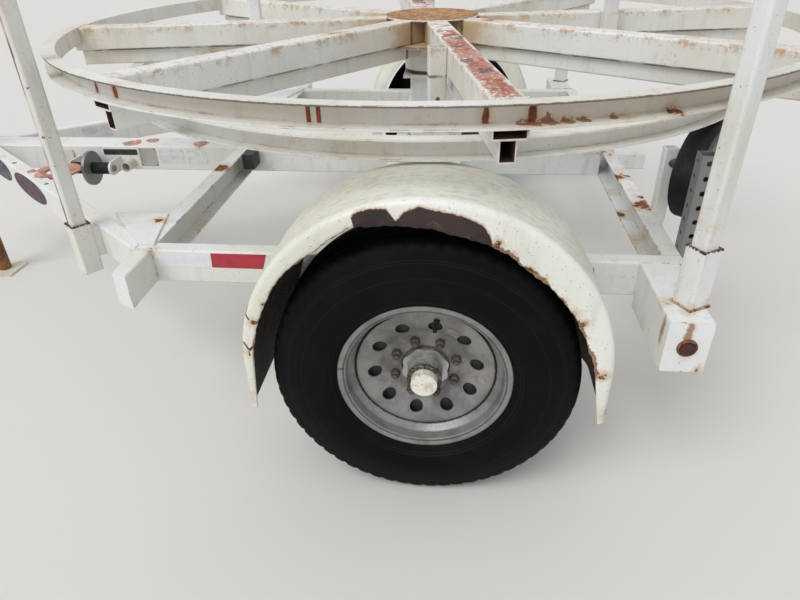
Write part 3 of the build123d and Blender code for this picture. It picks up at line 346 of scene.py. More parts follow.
def new_tree(name, sizes):
    """Geometry Nodes tree with named sizes as inputs; returns the tree and its input sockets."""
    tree = bpy.data.node_groups.new(name, "GeometryNodeTree")
    kinds = {"Geometry": "NodeSocketGeometry", **sizes, "Material": "NodeSocketMaterial"}
    for label, kind in kinds.items():
        tree.interface.new_socket(label, in_out="INPUT", socket_type=kind)
    tree.interface.new_socket("Geometry", in_out="OUTPUT", socket_type="NodeSocketGeometry")
    return tree, add(tree, "NodeGroupInput").outputs


def close_tree(tree, given, geometry):
    """Ends a tree: instances made real, then the finish set."""
    real = add(tree, "GeometryNodeRealizeInstances", {"Geometry": geometry}).outputs[0]
    dressed = add(tree, "GeometryNodeSetMaterial", {
        "Geometry": real, "Material": given["Material"]})
    add(tree, "NodeGroupOutput", {"Geometry": dressed.outputs[0]})
    return tree


def grown(name, seeds, tree, **values):
    """Runs a tree on a mesh of points or paths, and returns the result as a plain mesh."""
    holder = bpy.data.objects.new(name, seeds)
    scene.collection.objects.link(holder)
    modifier = holder.modifiers.new("grow", "NODES")
    modifier.node_group = tree
    for socket in tree.interface.items_tree:
        key = socket.name.replace(" ", "_").lower()
        if socket.item_type == "SOCKET" and socket.in_out == "INPUT" and key in values:
            modifier[socket.identifier] = values[key]
    graph = bpy.context.evaluated_depsgraph_get()
    mesh = bpy.data.meshes.new_from_object(holder.evaluated_get(graph))
    mesh.name = name
    holder.modifiers.remove(modifier)
    bpy.data.objects.remove(holder)
    print(name, len(mesh.polygons), "faces")
    return mesh


def points_facing(name, places):
    """Mesh of bare points from (place, direction) pairs; the direction is kept on each point."""
    mesh = bpy.data.meshes.new(name)
    mesh.from_pydata([place for place, _ in places], [], [])
    facing = mesh.attributes.new("facing", "FLOAT_VECTOR", "POINT")
    for number, (_, direction) in enumerate(places):
        facing.data[number].vector = direction
    return mesh


def paths(name, lines):
    """Mesh of open polylines."""
    mesh = bpy.data.meshes.new(name)
    points, edges = [], []
    for line in lines:
        edges += [(len(points) + i, len(points) + i + 1) for i in range(len(line) - 1)]
        points += line
    mesh.from_pydata(points, edges, [])
    return mesh


LENGTH = "NodeSocketFloat"

# %% [markdown]
# ## A nut on its stud
# A wheel nut is a six-sided block with a chamfered crown, and its stud stands out of it. Three
# cones of few sides make it, and a random turn keeps the nuts from all lining up. Screwed down
# by hand, no two real ones stop at the same angle. The same tree, made flat, gives the rivets.

# %% Nut tree
nut_tree, given = new_tree("nut_on_stud", {
    "Across Corners": LENGTH, "Nut High": LENGTH, "Stud Radius": LENGTH, "Stud Long": LENGTH,
    "Seed": "NodeSocketInt"})
corner_radius = put(nut_tree, "MULTIPLY", given["Across Corners"], 0.5)
crown_radius = put(nut_tree, "MULTIPLY", corner_radius, 0.8)
crown_high = put(nut_tree, "MULTIPLY", given["Nut High"], 0.16)
block_high = put(nut_tree, "SUBTRACT", given["Nut High"], crown_high)
block = add(nut_tree, "GeometryNodeMeshCone", {
    "Vertices": 6, "Radius Top": corner_radius, "Radius Bottom": corner_radius,
    "Depth": block_high}).outputs["Mesh"]
crown = add(nut_tree, "GeometryNodeMeshCone", {
    "Vertices": 6, "Radius Top": crown_radius, "Radius Bottom": corner_radius,
    "Depth": crown_high}).outputs["Mesh"]
lifted = add(nut_tree, "GeometryNodeTransform", {
    "Geometry": crown,
    "Translation": add(nut_tree, "ShaderNodeCombineXYZ", {"Z": block_high}).outputs[0]}).outputs[0]
stud = add(nut_tree, "GeometryNodeMeshCone", {
    "Vertices": 14, "Radius Top": given["Stud Radius"], "Radius Bottom": given["Stud Radius"],
    "Depth": given["Stud Long"]}).outputs["Mesh"]
nut = add(nut_tree, "GeometryNodeJoinGeometry")
for part in (block, lifted, stud):
    nut_tree.links.new(part, nut.inputs[0])
facing = add(nut_tree, "GeometryNodeInputNamedAttribute", {
    "Name": "facing"}, data_type="FLOAT_VECTOR").outputs["Attribute"]
standing = add(nut_tree, "FunctionNodeAlignRotationToVector", {
    "Vector": facing}, axis="Z").outputs[0]
spun = add(nut_tree, "FunctionNodeRandomValue", {
    "Max": 1.0, "Seed": given["Seed"]}).outputs["Value"]
own_turn = add(
    nut_tree, "FunctionNodeAxisAngleToRotation", {"Axis": (0, 0, 1), "Angle": spun}).outputs[0]
pose = add(nut_tree, "FunctionNodeRotateRotation", {
    "Rotation": standing, "Rotate By": own_turn}, rotation_space="LOCAL").outputs[0]
nuts = add(nut_tree, "GeometryNodeInstanceOnPoints", {
    "Points": given["Geometry"], "Instance": nut.outputs[0], "Rotation": pose}).outputs[0]
close_tree(nut_tree, given, nuts)
print("tree", nut_tree.name, len(nut_tree.nodes), "nodes")

# %% [markdown]
# ## A weld bead
# A bead laid by hand is a row of small overlapping drops of metal. The tree cuts a path into
# even steps and sets a drop on each, a little larger or smaller than the last. One long tube
# would be cheaper, and would look like a hose.

# %% Weld tree
weld_tree, given = new_tree(
    "weld_bead", {"Bead Wide": LENGTH, "Ripple": LENGTH, "Seed": "NodeSocketInt"})
seam = add(weld_tree, "GeometryNodeMeshToCurve", {"Mesh": given["Geometry"]}).outputs[0]
steps_along = add(weld_tree, "GeometryNodeResampleCurve", {
    "Curve": seam, "Length": given["Ripple"]}, mode="LENGTH").outputs[0]
drop = add(weld_tree, "GeometryNodeMeshIcoSphere", {
    "Radius": 0.5, "Subdivisions": 2}).outputs["Mesh"]
drop = add(weld_tree, "GeometryNodeSetShadeSmooth", {"Geometry": drop}).outputs[0]
uneven = add(weld_tree, "FunctionNodeRandomValue", {
    "Min": 0.75, "Max": 1.2, "Seed": given["Seed"]}).outputs["Value"]
drop_size = put(weld_tree, "MULTIPLY", given["Bead Wide"], uneven)
drops = add(weld_tree, "GeometryNodeInstanceOnPoints", {
    "Points": steps_along, "Instance": drop, "Scale": drop_size}).outputs[0]
close_tree(weld_tree, given, drops)
print("tree", weld_tree.name, len(weld_tree.nodes), "nodes")

# %% [markdown]
# ## Masks that several finishes share
# A worn finish is a stack of masks: broad blotches, fine specks, worn edges, and spots where
# something has rubbed or leaked. Every mask reads the object's own coordinates, in metres, so
# its grain has a real size and stays put when the piece turns.

# %% Materials and masks
# Rays that a Bevel node sends out at each point: more where it makes a mask of the edges.
MASK_RAYS = 6
SOFT_RAYS = 4


def new_material(name):
    """Material with a Principled shader; returns the material, its tree and the shader."""
    made = bpy.data.materials.new(name)
    made.use_nodes = True
    return made, made.node_tree, made.node_tree.nodes["Principled BSDF"]


def product(tree, *masks):
    """Masks multiplied, so that each one may only take away."""
    whole = masks[0]
    for mask in masks[1:]:
        whole = put(tree, "MULTIPLY", whole, mask)
    return whole


def edge_mask(tree, radius_mm):
    """1 on an edge, 0 on a flat face: there a rounded normal and the true one differ."""
    rounded = add(tree, "ShaderNodeBevel", {
        "Radius": radius_mm / 1000}, samples=MASK_RAYS).outputs["Normal"]
    true = add(tree, "ShaderNodeNewGeometry").outputs["Normal"]
    alike = put(tree, "DOT", rounded, true)
    return put(tree, "STEP", put(tree, "SUBTRACT", 1.0, alike), 0.01, 0.16)


def near_spots(tree, place, spots):
    """1 at the middle of the nearest spot (x, y, z, radius in metres), 0 outside them all."""
    nearest = 0.0
    for x, y, z, radius in spots:
        gap = put(tree, "GAP", place, (x, y, z))
        nearest = put(tree, "MAXIMUM", nearest, put(tree, "STEP", gap, radius, 0.0))
    return nearest


def about_axis(tree, place, centre, axis):
    """(distance from an axis, distance along it) of each point, for things that are turned."""
    rel = put(tree, "OFFSET", place, tuple(centre))
    along = put(tree, "DOT", rel, tuple(axis))
    onto = put(tree, "ONTO", rel, tuple(axis))
    return put(tree, "LONG", put(tree, "OFFSET", rel, onto)), along


def finish_shader(tree, shader, colour, rough, height, depth_mm, strength=0.4, round_mm=1.5):
    """Joins colour, roughness and relief to the shader; sharp edges are rounded by round_mm."""
    tree.links.new(colour, shader.inputs["Base Color"])
    tree.links.new(rough, shader.inputs["Roughness"])
    soft = add(tree, "ShaderNodeBevel", {
        "Radius": round_mm / 1000}, samples=SOFT_RAYS).outputs["Normal"]
    bump = add(tree, "ShaderNodeBump", {
        "Strength": strength, "Distance": depth_mm / 1000, "Height": height, "Normal": soft})
    tree.links.new(bump.outputs["Normal"], shader.inputs["Normal"])


# %% [markdown]
# ## Old white enamel on rolled steel
# The frame was sprayed with a white machine enamel, over a red-oxide primer. Enamel is a thick
# plastic film: its IOR is about 1.5, and years of sun have chalked its roughness from 0.3 to
# 0.45 or more. It fails in four ways. It yellows in broad patches, it wears through along every
# edge, rust blisters break it from below and stain it, and where a coil has rubbed it, it peels
# down to the primer. Each of the four is a mask, and each part gets its own share of them.

# %% Old enamel


def enamel(
    name, fresh, yellowed, rust, edges, gloss=0.42, edge_mm=7, rusted_at=(), primed_at=(),
    marks=None):
    """Weathered enamel. rust and edges run from 0, sound paint, to about 1; gloss is the sound
    paint's roughness; spots are (x, y, z, radius); marks adds (mask, colour, roughness) layers."""
    made, tree, shader = new_material(name)
    place = put(tree, "PLACE")
    flowing = put(tree, "STRETCHED", place, (1, 1, 0.14))
    broad = put(tree, "NOISE", place, 1000 / 420, 3, 0.55)
    grime = put(tree, "NOISE", flowing, 1000 / 45, 6, 0.65)
    speck = put(tree, "NOISE", place, 1000 / 6, 3, 0.55)
    fine = put(tree, "NOISE", place, 1000 / 15, 6, 0.72)
    patchy = put(tree, "NOISE", place, 1000 / 75, 7, 0.7)
    colour = put(tree, "TINT", put(tree, "STEP", broad, 0.36, 0.66), fresh, yellowed)
    colour = put(tree, "TINT", put(tree, "STEP", grime, 0.5, 0.8, 0.0, 0.34), colour, "938D7B")
    colour = put(tree, "TINT", put(tree, "STEP", speck, 0.63, 0.72, 0.0, 0.5), colour, "756A55")

    seat = put(tree, "NOISE", place, 1000 / 170, 9, 0.68, 0.3)
    near = near_spots(tree, place, rusted_at) if rusted_at else 0.0
    blister = put(tree, "ADD", product(tree, seat, 0.72), product(tree, fine, 0.28))
    blister = put(tree, "ADD", blister, product(tree, near, 0.19))
    reached = put(tree, "STEP", patchy, 0.66 - 0.3 * edges, 0.74 - 0.22 * edges)
    worn = product(tree, edge_mask(tree, edge_mm), reached)
    start = 0.70 - 0.10 * rust
    stain = put(tree, "STEP", blister, start - 0.11, start + 0.02)
    stain = put(tree, "MAXIMUM", stain, product(tree, worn, 0.6))
    core = put(tree, "STEP", blister, start + 0.015, start + 0.045)
    bare_edge = put(tree, "STEP", product(tree, worn, fine), 0.36, 0.46)
    core = put(tree, "MAXIMUM", core, bare_edge)
    colour = put(tree, "TINT", product(tree, stain, 0.5), colour, "C39A62")
    if primed_at:
        rubbed = put(tree, "ADD", near_spots(tree, place, primed_at), product(tree, patchy, 1.3))
        bare = put(tree, "STEP", rubbed, 1.12, 1.17)
        primer = put(tree, "TINT", put(tree, "STEP", grime, 0.42, 0.6), "C98E79", "A9604A")
        dark = put(tree, "STEP", put(tree, "NOISE", place, 1000 / 38, 6, 0.55), 0.56, 0.64)
        primer = put(tree, "TINT", dark, primer, "80707A")
        primer = put(tree, "TINT", put(tree, "STEP", fine, 0.56, 0.62), primer, "DCC7A4")
        colour = put(tree, "TINT", bare, colour, primer)
    rusty = put(tree, "TINT", put(tree, "STEP", fine, 0.38, 0.62), "A4622F", "5A3220")
    rusty = put(tree, "TINT", put(tree, "STEP", speck, 0.5, 0.66), rusty, "3C2A22")
    colour = put(tree, "TINT", core, colour, rusty)
    rough = put(tree, "STEP", core, 0.0, 1.0, gloss, 0.85)
    rough = put(tree, "ADD", rough, put(tree, "STEP", grime, 0.4, 0.8, 0.0, 0.16))
    for mask, mark_colour, mark_rough in (marks(tree, place, fine, patchy) if marks else ()):
        colour = put(tree, "TINT", mask, colour, mark_colour)
        rough = put(tree, "BETWEEN", mask, rough, mark_rough)
    shader.inputs["IOR"].default_value = 1.5
    height = put(tree, "SUBTRACT", product(tree, fine, 0.3), product(tree, core, 0.8))
    finish_shader(tree, shader, colour, rough, height, 1.2)
    return made


# %% [markdown]
# ## The frame's enamel
# On the frame the rust sits where water lies: at the welds, on the crossmembers' tops and along
# the rear box. The tongue has lost its white in round patches, down to the primer. Such places
# belong to the one trailer, so they are listed one by one, and the masks make their edges ragged.

# %% Enamel on the frame
# Spots where the photograph shows rust, and where the paint is off to the primer.
frame_rust = (
    (-0.25, -1.135, 0.485, 0.035), (-0.245, -0.985, 0.585, 0.045), (-0.51, -0.87, 0.6, 0.05),
    (1.19, -0.08, 0.6, 0.12), (1.2, -0.33, 0.6, 0.13), (1.2, -0.5, 0.6, 0.11),
    (1.2, -0.6, 0.57, 0.09), (1.18, -0.25, 0.483, 0.1), (1.18, -0.45, 0.483, 0.1),
    (1.18, -0.65, 0.483, 0.1), (1.18, -0.82, 0.483, 0.1), (1.11, -1.19, 0.585, 0.045),
    (1.16, -1.235, 0.585, 0.05), (1.21, -1.2, 0.585, 0.05), (1.2, -1.27, 0.45, 0.05),
    (-0.46, -0.05, 0.585, 0.05), (1.215, -1.265, 0.581, 0.04), (-0.2, -0.4, 0.483, 0.09),
    (-0.2, -0.6, 0.483, 0.1), (-0.2, -0.8, 0.483, 0.08), (-0.3, -0.8, 0.585, 0.05),
    (-0.28, -0.3, 0.585, 0.09), (-0.26, 0.2, 0.585, 0.08))
frame_primer = (
    (-0.77, -0.02, 0.6, 0.085), (-0.7, 0.02, 0.6, 0.07), (-0.47, -0.02, 0.6, 0.07),
    (-0.93, -0.41, 0.6, 0.085), (-1.0, -0.37, 0.6, 0.06))
# Chips are spots like those above; a run is (x, y, its top, its foot, half its width).
RAIL_CHIPS = (
    (-1.131, -0.285, 0.581, 0.016), (-0.865, -0.499, 0.581, 0.014), (-0.749, -0.598, 0.581, 0.014))
RUNS = ((1.098, -1.235, 0.575, 0.44, 0.015), (1.153, -1.271, 0.575, 0.45, 0.016))


def frame_marks(tree, place, fine, patchy):
    """Rust runs down the rear box from its socket's weld, and chips along the tongue rail."""
    z = add(tree, "ShaderNodeSeparateXYZ", {0: place}).outputs["Z"]
    flat = put(tree, "TIMES", place, (1, 1, 0))
    run = 0.0
    for x, y, top, foot, wide in RUNS:
        gap = put(tree, "GAP", flat, (x, y, 0))
        gap = put(tree, "ADD", gap, product(tree, put(tree, "SUBTRACT", patchy, 0.5), 0.05))
        this_run = product(
            tree, put(tree, "STEP", gap, wide, wide * 0.1), put(tree, "STEP", z, foot, foot + 0.08),
            put(tree, "STEP", z, top + 0.01, top))
        run = put(tree, "MAXIMUM", run, this_run)
    chipped = product(tree, near_spots(tree, place, RAIL_CHIPS), 0.7)
    chipped = put(tree, "STEP", put(tree, "ADD", chipped, product(tree, fine, 0.6)), 0.55, 0.62)
    return (
        (product(tree, run, 0.6), "C0935A", 0.6),
        (product(tree, put(tree, "STEP", run, 0.55, 0.9), 0.6), "7A4A2A", 0.8),
        (chipped, "3A3532", 0.8))


frame_enamel = enamel(
    "white_enamel_on_frame", "E4E6E6", "DCDBD1", rust=0.3, edges=0.62,
    rusted_at=frame_rust, primed_at=frame_primer, marks=frame_marks)
clean_enamel = enamel("sound_white_enamel", "E4E6E6", "DCDBD1", rust=0.1, edges=0.45)
print("enamels", frame_enamel.name, clean_enamel.name)

# %% [markdown]
# ## The stakes' enamel
# Coils have been dropped over the stakes for years, so the paint is off their corners in long
# lines. A noise that is stretched along the stake gives lines in place of spots, and the edge
# mask keeps them on the corners.

# %% Enamel on the stakes


def stake_corners(way):
    """Points of the front outer stake on one side: way is -1 for the near one, 1 for the far."""
    return [
        vertex.co for vertex in nodes["outer_stakes"].data.vertices
        if vertex.co.x < 0 and vertex.co.y * way > 0]


leftmost = min(stake_corners(-1), key=lambda co: co.x)
LEFT_CORNER = (leftmost.x, leftmost.y, 0)


def stake_marks(tree, place, fine, patchy):
    """Rust that creeps up a stake's corners in long lines, worst on the near front one: there
    the corner on the left carries one line from foot to top."""
    running = put(tree, "STRETCHED", place, (1, 1, 0.09))
    lines = put(tree, "NOISE", running, 1000 / 16, 6, 0.62)
    corner = edge_mask(tree, 9)
    x, y, z = add(tree, "ShaderNodeSeparateXYZ", {0: place}).outputs
    at_front, at_side = put(tree, "STEP", x, -0.4, -0.45), put(tree, "STEP", y, -0.7, -0.75)
    worst = product(tree, at_front, at_side, 0.07)
    start = put(tree, "ADD", lines, worst)
    line = product(tree, put(tree, "STEP", start, 0.56, 0.62), corner)
    film = product(tree, put(tree, "STEP", start, 0.5, 0.6), corner)
    flat = put(tree, "TIMES", place, (1, 1, 0))
    gap = put(tree, "GAP", flat, LEFT_CORNER)
    uneven = product(tree, put(tree, "SUBTRACT", 0.5, lines), 0.09)
    left = put(tree, "STEP", put(tree, "ADD", gap, uneven), 0.015, 0.009)
    line = put(tree, "MAXIMUM", line, product(tree, left, 0.95))
    film = put(tree, "MAXIMUM", film, put(tree, "STEP", gap, 0.026, 0.010, 0.0, 0.5))
    chips = put(tree, "NOISE", place, 1000 / 26, 4, 0.6)
    chips = put(tree, "STEP", put(tree, "ADD", chips, product(tree, worst, 0.4)), 0.70, 0.73)
    brown = put(tree, "TINT", put(tree, "STEP", fine, 0.4, 0.62), "85502F", "4A2E22")
    dark = put(tree, "TINT", put(tree, "STEP", fine, 0.45, 0.55), "3B3330", "7A5A42")
    return (
        (product(tree, film, 0.6), "BE9A70", 0.6), (product(tree, line, 0.92), brown, 0.85),
        (chips, dark, 0.8))


stake_enamel = enamel(
    "white_enamel_on_stakes", "E2E4E4", "D8D7CE", rust=0.45, edges=0.45, marks=stake_marks)
print("enamel", stake_enamel.name)

# %% [markdown]
# ## The turntable's paint
# Rain stands on the rings, so this paint is the worst. Rust has run down the web of the upper
# ring where the side walls of each spoke are welded behind it, two runs a spoke. The spokes
# are open tubes, and their insides are given painted shade, a dark brown. Both follow the eight
# spokes, so the masks work in the nearest spoke's own frame: its angle is folded back to one
# spoke by a modulo.

# %% Places on the turntable
NEAR_SPOKE = -80.3
SPOKES = 8
spoke_start = math.radians(NEAR_SPOKE)
spoke_step = math.tau / SPOKES
# Radii: where the spokes end, the ring's web, its inner part and the edge of its lip.
SPOKE_END = 1.2608
WEB_FACE = 1.2650
INNER_PART = 1.25
LIP_EDGE = 1.2972
DISC_RADIUS = 0.168
upper_middle = table_top - 0.038
lower_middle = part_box("turntable_ring_lower")[1].z + 0.0255
web_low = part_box("turntable_ring_upper")[0].z


def on_table(degrees, radius):
    """Place (x, y) on the turntable at an angle and a distance from its axis."""
    angle = math.radians(degrees)
    return axis_x + math.cos(angle) * radius, axis_y + math.sin(angle) * radius


lone_runs = [on_table(degrees, WEB_FACE + 0.0014) for degrees in (-98.5, -97.5)]
web_flakes = [(*on_table(degrees, 1.275), web_low + 0.004, size) for degrees, size in (
    (-79.3, 0.02), (-78.2, 0.034), (-76.6, 0.034), (-75, 0.03), (-73.4, 0.026), (-70.5, 0.02))]


def spoke_frame(tree, place):
    """Distance from the turntable's axis, across the nearest spoke, and height."""
    x, y, z = add(tree, "ShaderNodeSeparateXYZ", {0: place}).outputs
    x = put(tree, "SUBTRACT", x, axis_x)
    angle = put(tree, "ARCTAN2", y, x)
    angle = put(tree, "SUBTRACT", angle, spoke_start - spoke_step / 2)
    folded = put(tree, "FLOORED_MODULO", angle, spoke_step)
    folded = put(tree, "SUBTRACT", folded, spoke_step / 2)
    radius = put(tree, "SQRT", put(tree, "ADD", product(tree, x, x), product(tree, y, y)))
    across = put(tree, "ABSOLUTE", product(tree, radius, put(tree, "SINE", folded)))
    return radius, across, z


def near_spoke_share(tree, place):
    """1 on the spoke nearest the camera and on the one opposite, 0 on the others."""
    way = (math.cos(spoke_start), math.sin(spoke_start), 0)
    flat = put(tree, "TIMES", put(tree, "OFFSET", place, (axis_x, axis_y, 0)), (1, 1, 0))
    along = put(tree, "DOT", put(tree, "UNIT", flat), way)
    return put(tree, "STEP", put(tree, "ABSOLUTE", along), 0.96, 0.975)


# %% [markdown]
# ## What has happened to the spokes and the rings
# The coil's weight has rubbed the spokes' tops down to the primer. On the rings, water has drawn
# rust out of every weld. Each mark is a mask with a colour and a roughness, and the later ones
# in the list lie over the earlier ones, as they do on the steel.

# %% Marks on the spokes and the rings


def spoke_top_marks(tree, place, radius, across, z, fine, patchy):
    """Paint rubbed off the spokes' tops by the coil, to the primer on the near pair."""
    top = product(
        tree, put(tree, "STEP", z, table_top - 0.0016, table_top - 0.0008),
        put(tree, "STEP", radius, 0.18, 0.2), put(tree, "STEP", radius, 1.262, 1.26))
    share = near_spoke_share(tree, place)
    wander = put(tree, "SUBTRACT", patchy, 0.5)
    middle = put(tree, "STEP", put(tree, "ADD", across, product(tree, wander, 0.06)), 0.036, 0.024)
    reach = put(tree, "STEP", put(tree, "ADD", radius, product(tree, wander, 0.5)), 0.3, 0.55)
    flecks = put(tree, "NOISE", place, 1000 / 30, 7, 0.74)
    peeled = put(tree, "STEP", put(tree, "ADD", flecks, product(tree, reach, 0.14)), 0.5, 0.56)
    bare = product(tree, top, share, middle, peeled)
    primer = put(tree, "TINT", put(tree, "STEP", patchy, 0.4, 0.6), "BC8474", "A05747")
    dark = put(tree, "NOISE", place, 1000 / 90, 5, 0.6)
    primer = put(tree, "TINT", put(tree, "STEP", dark, 0.54, 0.62, 0.0, 0.85), primer, "5D4D54")
    primer = put(tree, "TINT", put(tree, "STEP", fine, 0.56, 0.62), primer, "E2D8C2")
    primer = put(tree, "TINT", put(tree, "STEP", fine, 0.42, 0.36, 0.0, 0.7), primer, "8A5A34")
    others = put(tree, "SUBTRACT", 1.0, share)
    blush = product(tree, top, others, put(tree, "STEP", flecks, 0.5, 0.6), 0.6)
    specks = product(tree, top, put(tree, "STEP", fine, 0.63, 0.67))
    return (blush, "C39C84", 0.6), (bare, primer, 0.8), (specks, "7C4C2C", 0.85)


def table_marks(tree, place, fine, patchy):
    """Runs, stains and flakes on the rings' web and lip; a beige-grey tint on the web, partly dirt
    and partly painted shade; a painted shadow line on the lip's edge; and painted shade inside
    the open spokes.
    """
    radius, across, z = spoke_frame(tree, place)
    on_web = product(
        tree, put(tree, "STEP", radius, WEB_FACE, WEB_FACE + 0.0005),
        put(tree, "STEP", z, web_low + 0.0052, web_low + 0.0060),
        put(tree, "STEP", z, table_top - 0.0052, table_top - 0.0060))
    # Painted shade: the inner walls of each open spoke are marked here, to be coloured dark brown.
    painted_shade_insides = 0.0
    for middle, half_wide, half_high in (
            (upper_middle, 0.0334, 0.0334), (lower_middle, 0.0153, 0.0218)):
        gap = put(tree, "ABSOLUTE", put(tree, "SUBTRACT", z, middle))
        this_shaded_inside = product(
            tree, put(tree, "STEP", across, half_wide + 0.0006, half_wide),
            put(tree, "STEP", gap, half_high + 0.0006, half_high))
        painted_shade_insides = put(tree, "MAXIMUM", painted_shade_insides, this_shaded_inside)
    off_web = put(tree, "SUBTRACT", 1.0, on_web)
    in_ring = put(
        tree, "MAXIMUM", put(tree, "STEP", z, web_low, web_low - 0.0004),
        put(tree, "STEP", radius, SPOKE_END + 0.0001, SPOKE_END - 0.0003))
    painted_shade_insides = product(tree, painted_shade_insides, off_web, in_ring, put(tree, "STEP", radius, 0.23, 0.24))
    wander = put(tree, "SUBTRACT", patchy, 0.5)
    off_wall = put(tree, "ABSOLUTE", put(tree, "SUBTRACT", across, 0.046))
    off_wall = put(tree, "ADD", off_wall, product(tree, wander, 0.022))
    bulge = put(tree, "ABSOLUTE", put(tree, "SUBTRACT", z, web_low + 0.016))
    off_wall = put(tree, "ADD", off_wall, product(tree, bulge, 0.09))
    runs = product(tree, on_web, put(tree, "STEP", off_wall, 0.0095, 0.0055))
    halo = product(tree, on_web, put(tree, "STEP", off_wall, 0.024, 0.005, 0.0, 0.45))
    lone = near_spots(tree, place, [
        (*at, web_low + 0.006 * step, 0.0085) for at in lone_runs for step in range(1, 12)])
    lone = put(tree, "ADD", lone, product(tree, wander, 0.5))
    lone = product(tree, on_web, put(tree, "STEP", lone, 0.2, 0.4))
    run_colour = put(tree, "TINT", put(tree, "STEP", fine, 0.4, 0.62), "8A4A2B", "5A3024")
    foot = put(tree, "STEP", z, web_low + 0.012, web_low + 0.005, 0.0, 0.5)
    foot_line = product(tree, on_web, foot, put(tree, "STEP", patchy, 0.42, 0.6))
    ragged = put(tree, "ADD", z, product(tree, put(tree, "SUBTRACT", fine, 0.5), 0.006))
    # Painted shadow: a ragged dark band on the lip's outer edge, below a thin bright top, stands
    # for the shadow line under the overhanging flange.
    lip = product(
        tree, put(tree, "STEP", radius, LIP_EDGE, LIP_EDGE + 0.0006),
        put(tree, "STEP", ragged, table_top - 0.0008, table_top - 0.0018),
        put(tree, "STEP", z, table_top - 0.0056, table_top - 0.0048))
    off_ring = put(tree, "STEP", radius, INNER_PART, INNER_PART - 0.01)
    seam = put(tree, "ABSOLUTE", put(tree, "SUBTRACT", z, table_top - 0.0765))
    seam = product(
        tree, put(tree, "STEP", seam, 0.006, 0.0015), put(tree, "STEP", radius, 0.2, 0.22),
        off_ring, put(tree, "STEP", patchy, 0.4, 0.52))
    off_ring = product(tree, put(tree, "STEP", radius, 0.2, 0.3), off_ring)
    mottled = put(tree, "ADD", product(tree, patchy, 0.6), product(tree, fine, 0.4))
    brow = product(
        tree, off_ring, put(tree, "STEP", z, table_top - 0.034, table_top - 0.006),
        put(tree, "STEP", z, table_top, table_top - 0.001), put(tree, "STEP", mottled, 0.49, 0.57))
    flaky = product(tree, near_spots(tree, place, web_flakes), 0.42)
    flaky = put(tree, "STEP", put(tree, "ADD", flaky, product(tree, fine, 0.9)), 0.63, 0.69)
    root = put(tree, "ADD", radius, product(tree, wander, 0.3))
    low_side = put(tree, "STEP", z, table_top - 0.0004, table_top - 0.002)
    stained = product(
        tree, low_side, put(tree, "STEP", root, 0.34, 0.17), put(tree, "STEP", z, 0.97, 0.985),
        0.75)
    off_disc = put(tree, "ABSOLUTE", put(tree, "SUBTRACT", radius, DISC_RADIUS))
    corner = product(
        tree, low_side, put(tree, "STEP", off_disc, 0.009, 0.003),
        put(tree, "STEP", fine, 0.36, 0.5))
    return (
        # The web's beige-grey tint is partly dirt and partly painted shade.
        (product(tree, on_web, 0.42), "B3A593", 0.5), (halo, "BE8F62", 0.7),
        (foot_line, "9E6C42", 0.8), (stained, "B9935F", 0.7),
        (product(tree, brow, 0.62), "B08043", 0.8), (product(tree, flaky, 0.9), "8F5A36", 0.85),
        (product(tree, seam, 0.8), "5B4534", 0.85), (product(tree, corner, 0.85), "6A432B", 0.85),
        # Painted shadow line under the lip's top edge.
        (product(tree, lip, 0.85), "4A4038", 0.8),
        # Painted shade: dark brown inside the open spokes.
        (put(tree, "MAXIMUM", runs, lone), run_colour, 0.85), (painted_shade_insides, "50332A", 0.9),
        *spoke_top_marks(tree, place, radius, across, z, fine, patchy))


# %% Enamel on the turntable
# Spots of rust: (degrees from the near spoke, radius, height, size).
table_rust = [(*on_table(NEAR_SPOKE + degrees, radius), z, size) for degrees, radius, z, size in (
    (1.6, 1.285, web_low, 0.03), (3.0, 1.285, web_low, 0.035), (4.6, 1.285, web_low, 0.04),
    (6.2, 1.285, web_low, 0.03), (11, 1.28, web_low, 0.05), (16, 1.28, web_low, 0.04),
    (-18, 1.28, web_low, 0.03), (11, 1.1, 0.915, 0.06), (-45, 0.5, table_top, 0.08),
    (45, 0.25, table_top, 0.1))]
table_enamel = enamel(
    "white_enamel_on_turntable", "E4E4E0", "D9D5C8", rust=0.42, edges=0.55, edge_mm=3.5,
    rusted_at=table_rust, marks=table_marks)
print("enamel", table_enamel.name, "spots", len(table_rust))

# %% [markdown]
# ## Steel, iron, silver paint, rubber and plastic
# Springs and axle are mild steel with old black paint and a brown film of rust. The wheels are
# sprayed with silver wheel paint, fine aluminium flake in a clear binder, so they are partly
# metallic and fairly soft in their gloss. Tyre rubber is full of carbon black: very dark, with
# a rough, dry surface that dust turns greyer.

# %% Steel and iron


def old_steel(name, colour, rust_colour, rust, metallic, rough, size_mm=40):
    """Painted or bare steel with a film of rust; rust runs from 0 to 1."""
    made, tree, shader = new_material(name)
    place = put(tree, "PLACE")
    patchy = put(tree, "NOISE", place, 1000 / size_mm, 8, 0.68)
    fine = put(tree, "NOISE", place, 1000 / 7, 5, 0.7)
    worn = edge_mask(tree, 4)
    start = 0.72 - 0.42 * rust
    cover = put(tree, "ADD", patchy, product(tree, worn, 0.12))
    cover = put(tree, "STEP", cover, start - 0.03, start + 0.12)
    base = put(tree, "TINT", put(tree, "STEP", fine, 0.35, 0.65, 0.0, 0.3), colour, "8C857A")
    film = put(tree, "TINT", put(tree, "STEP", fine, 0.4, 0.6), rust_colour, "4A2C1F")
    shade = put(tree, "TINT", cover, base, film)
    dry = put(tree, "BETWEEN", cover, rough, 0.88)
    tree.links.new(put(tree, "BETWEEN", cover, metallic, 0.0), shader.inputs["Metallic"])
    finish_shader(tree, shader, shade, dry, put(tree, "ADD", patchy, fine), 0.9)
    return made


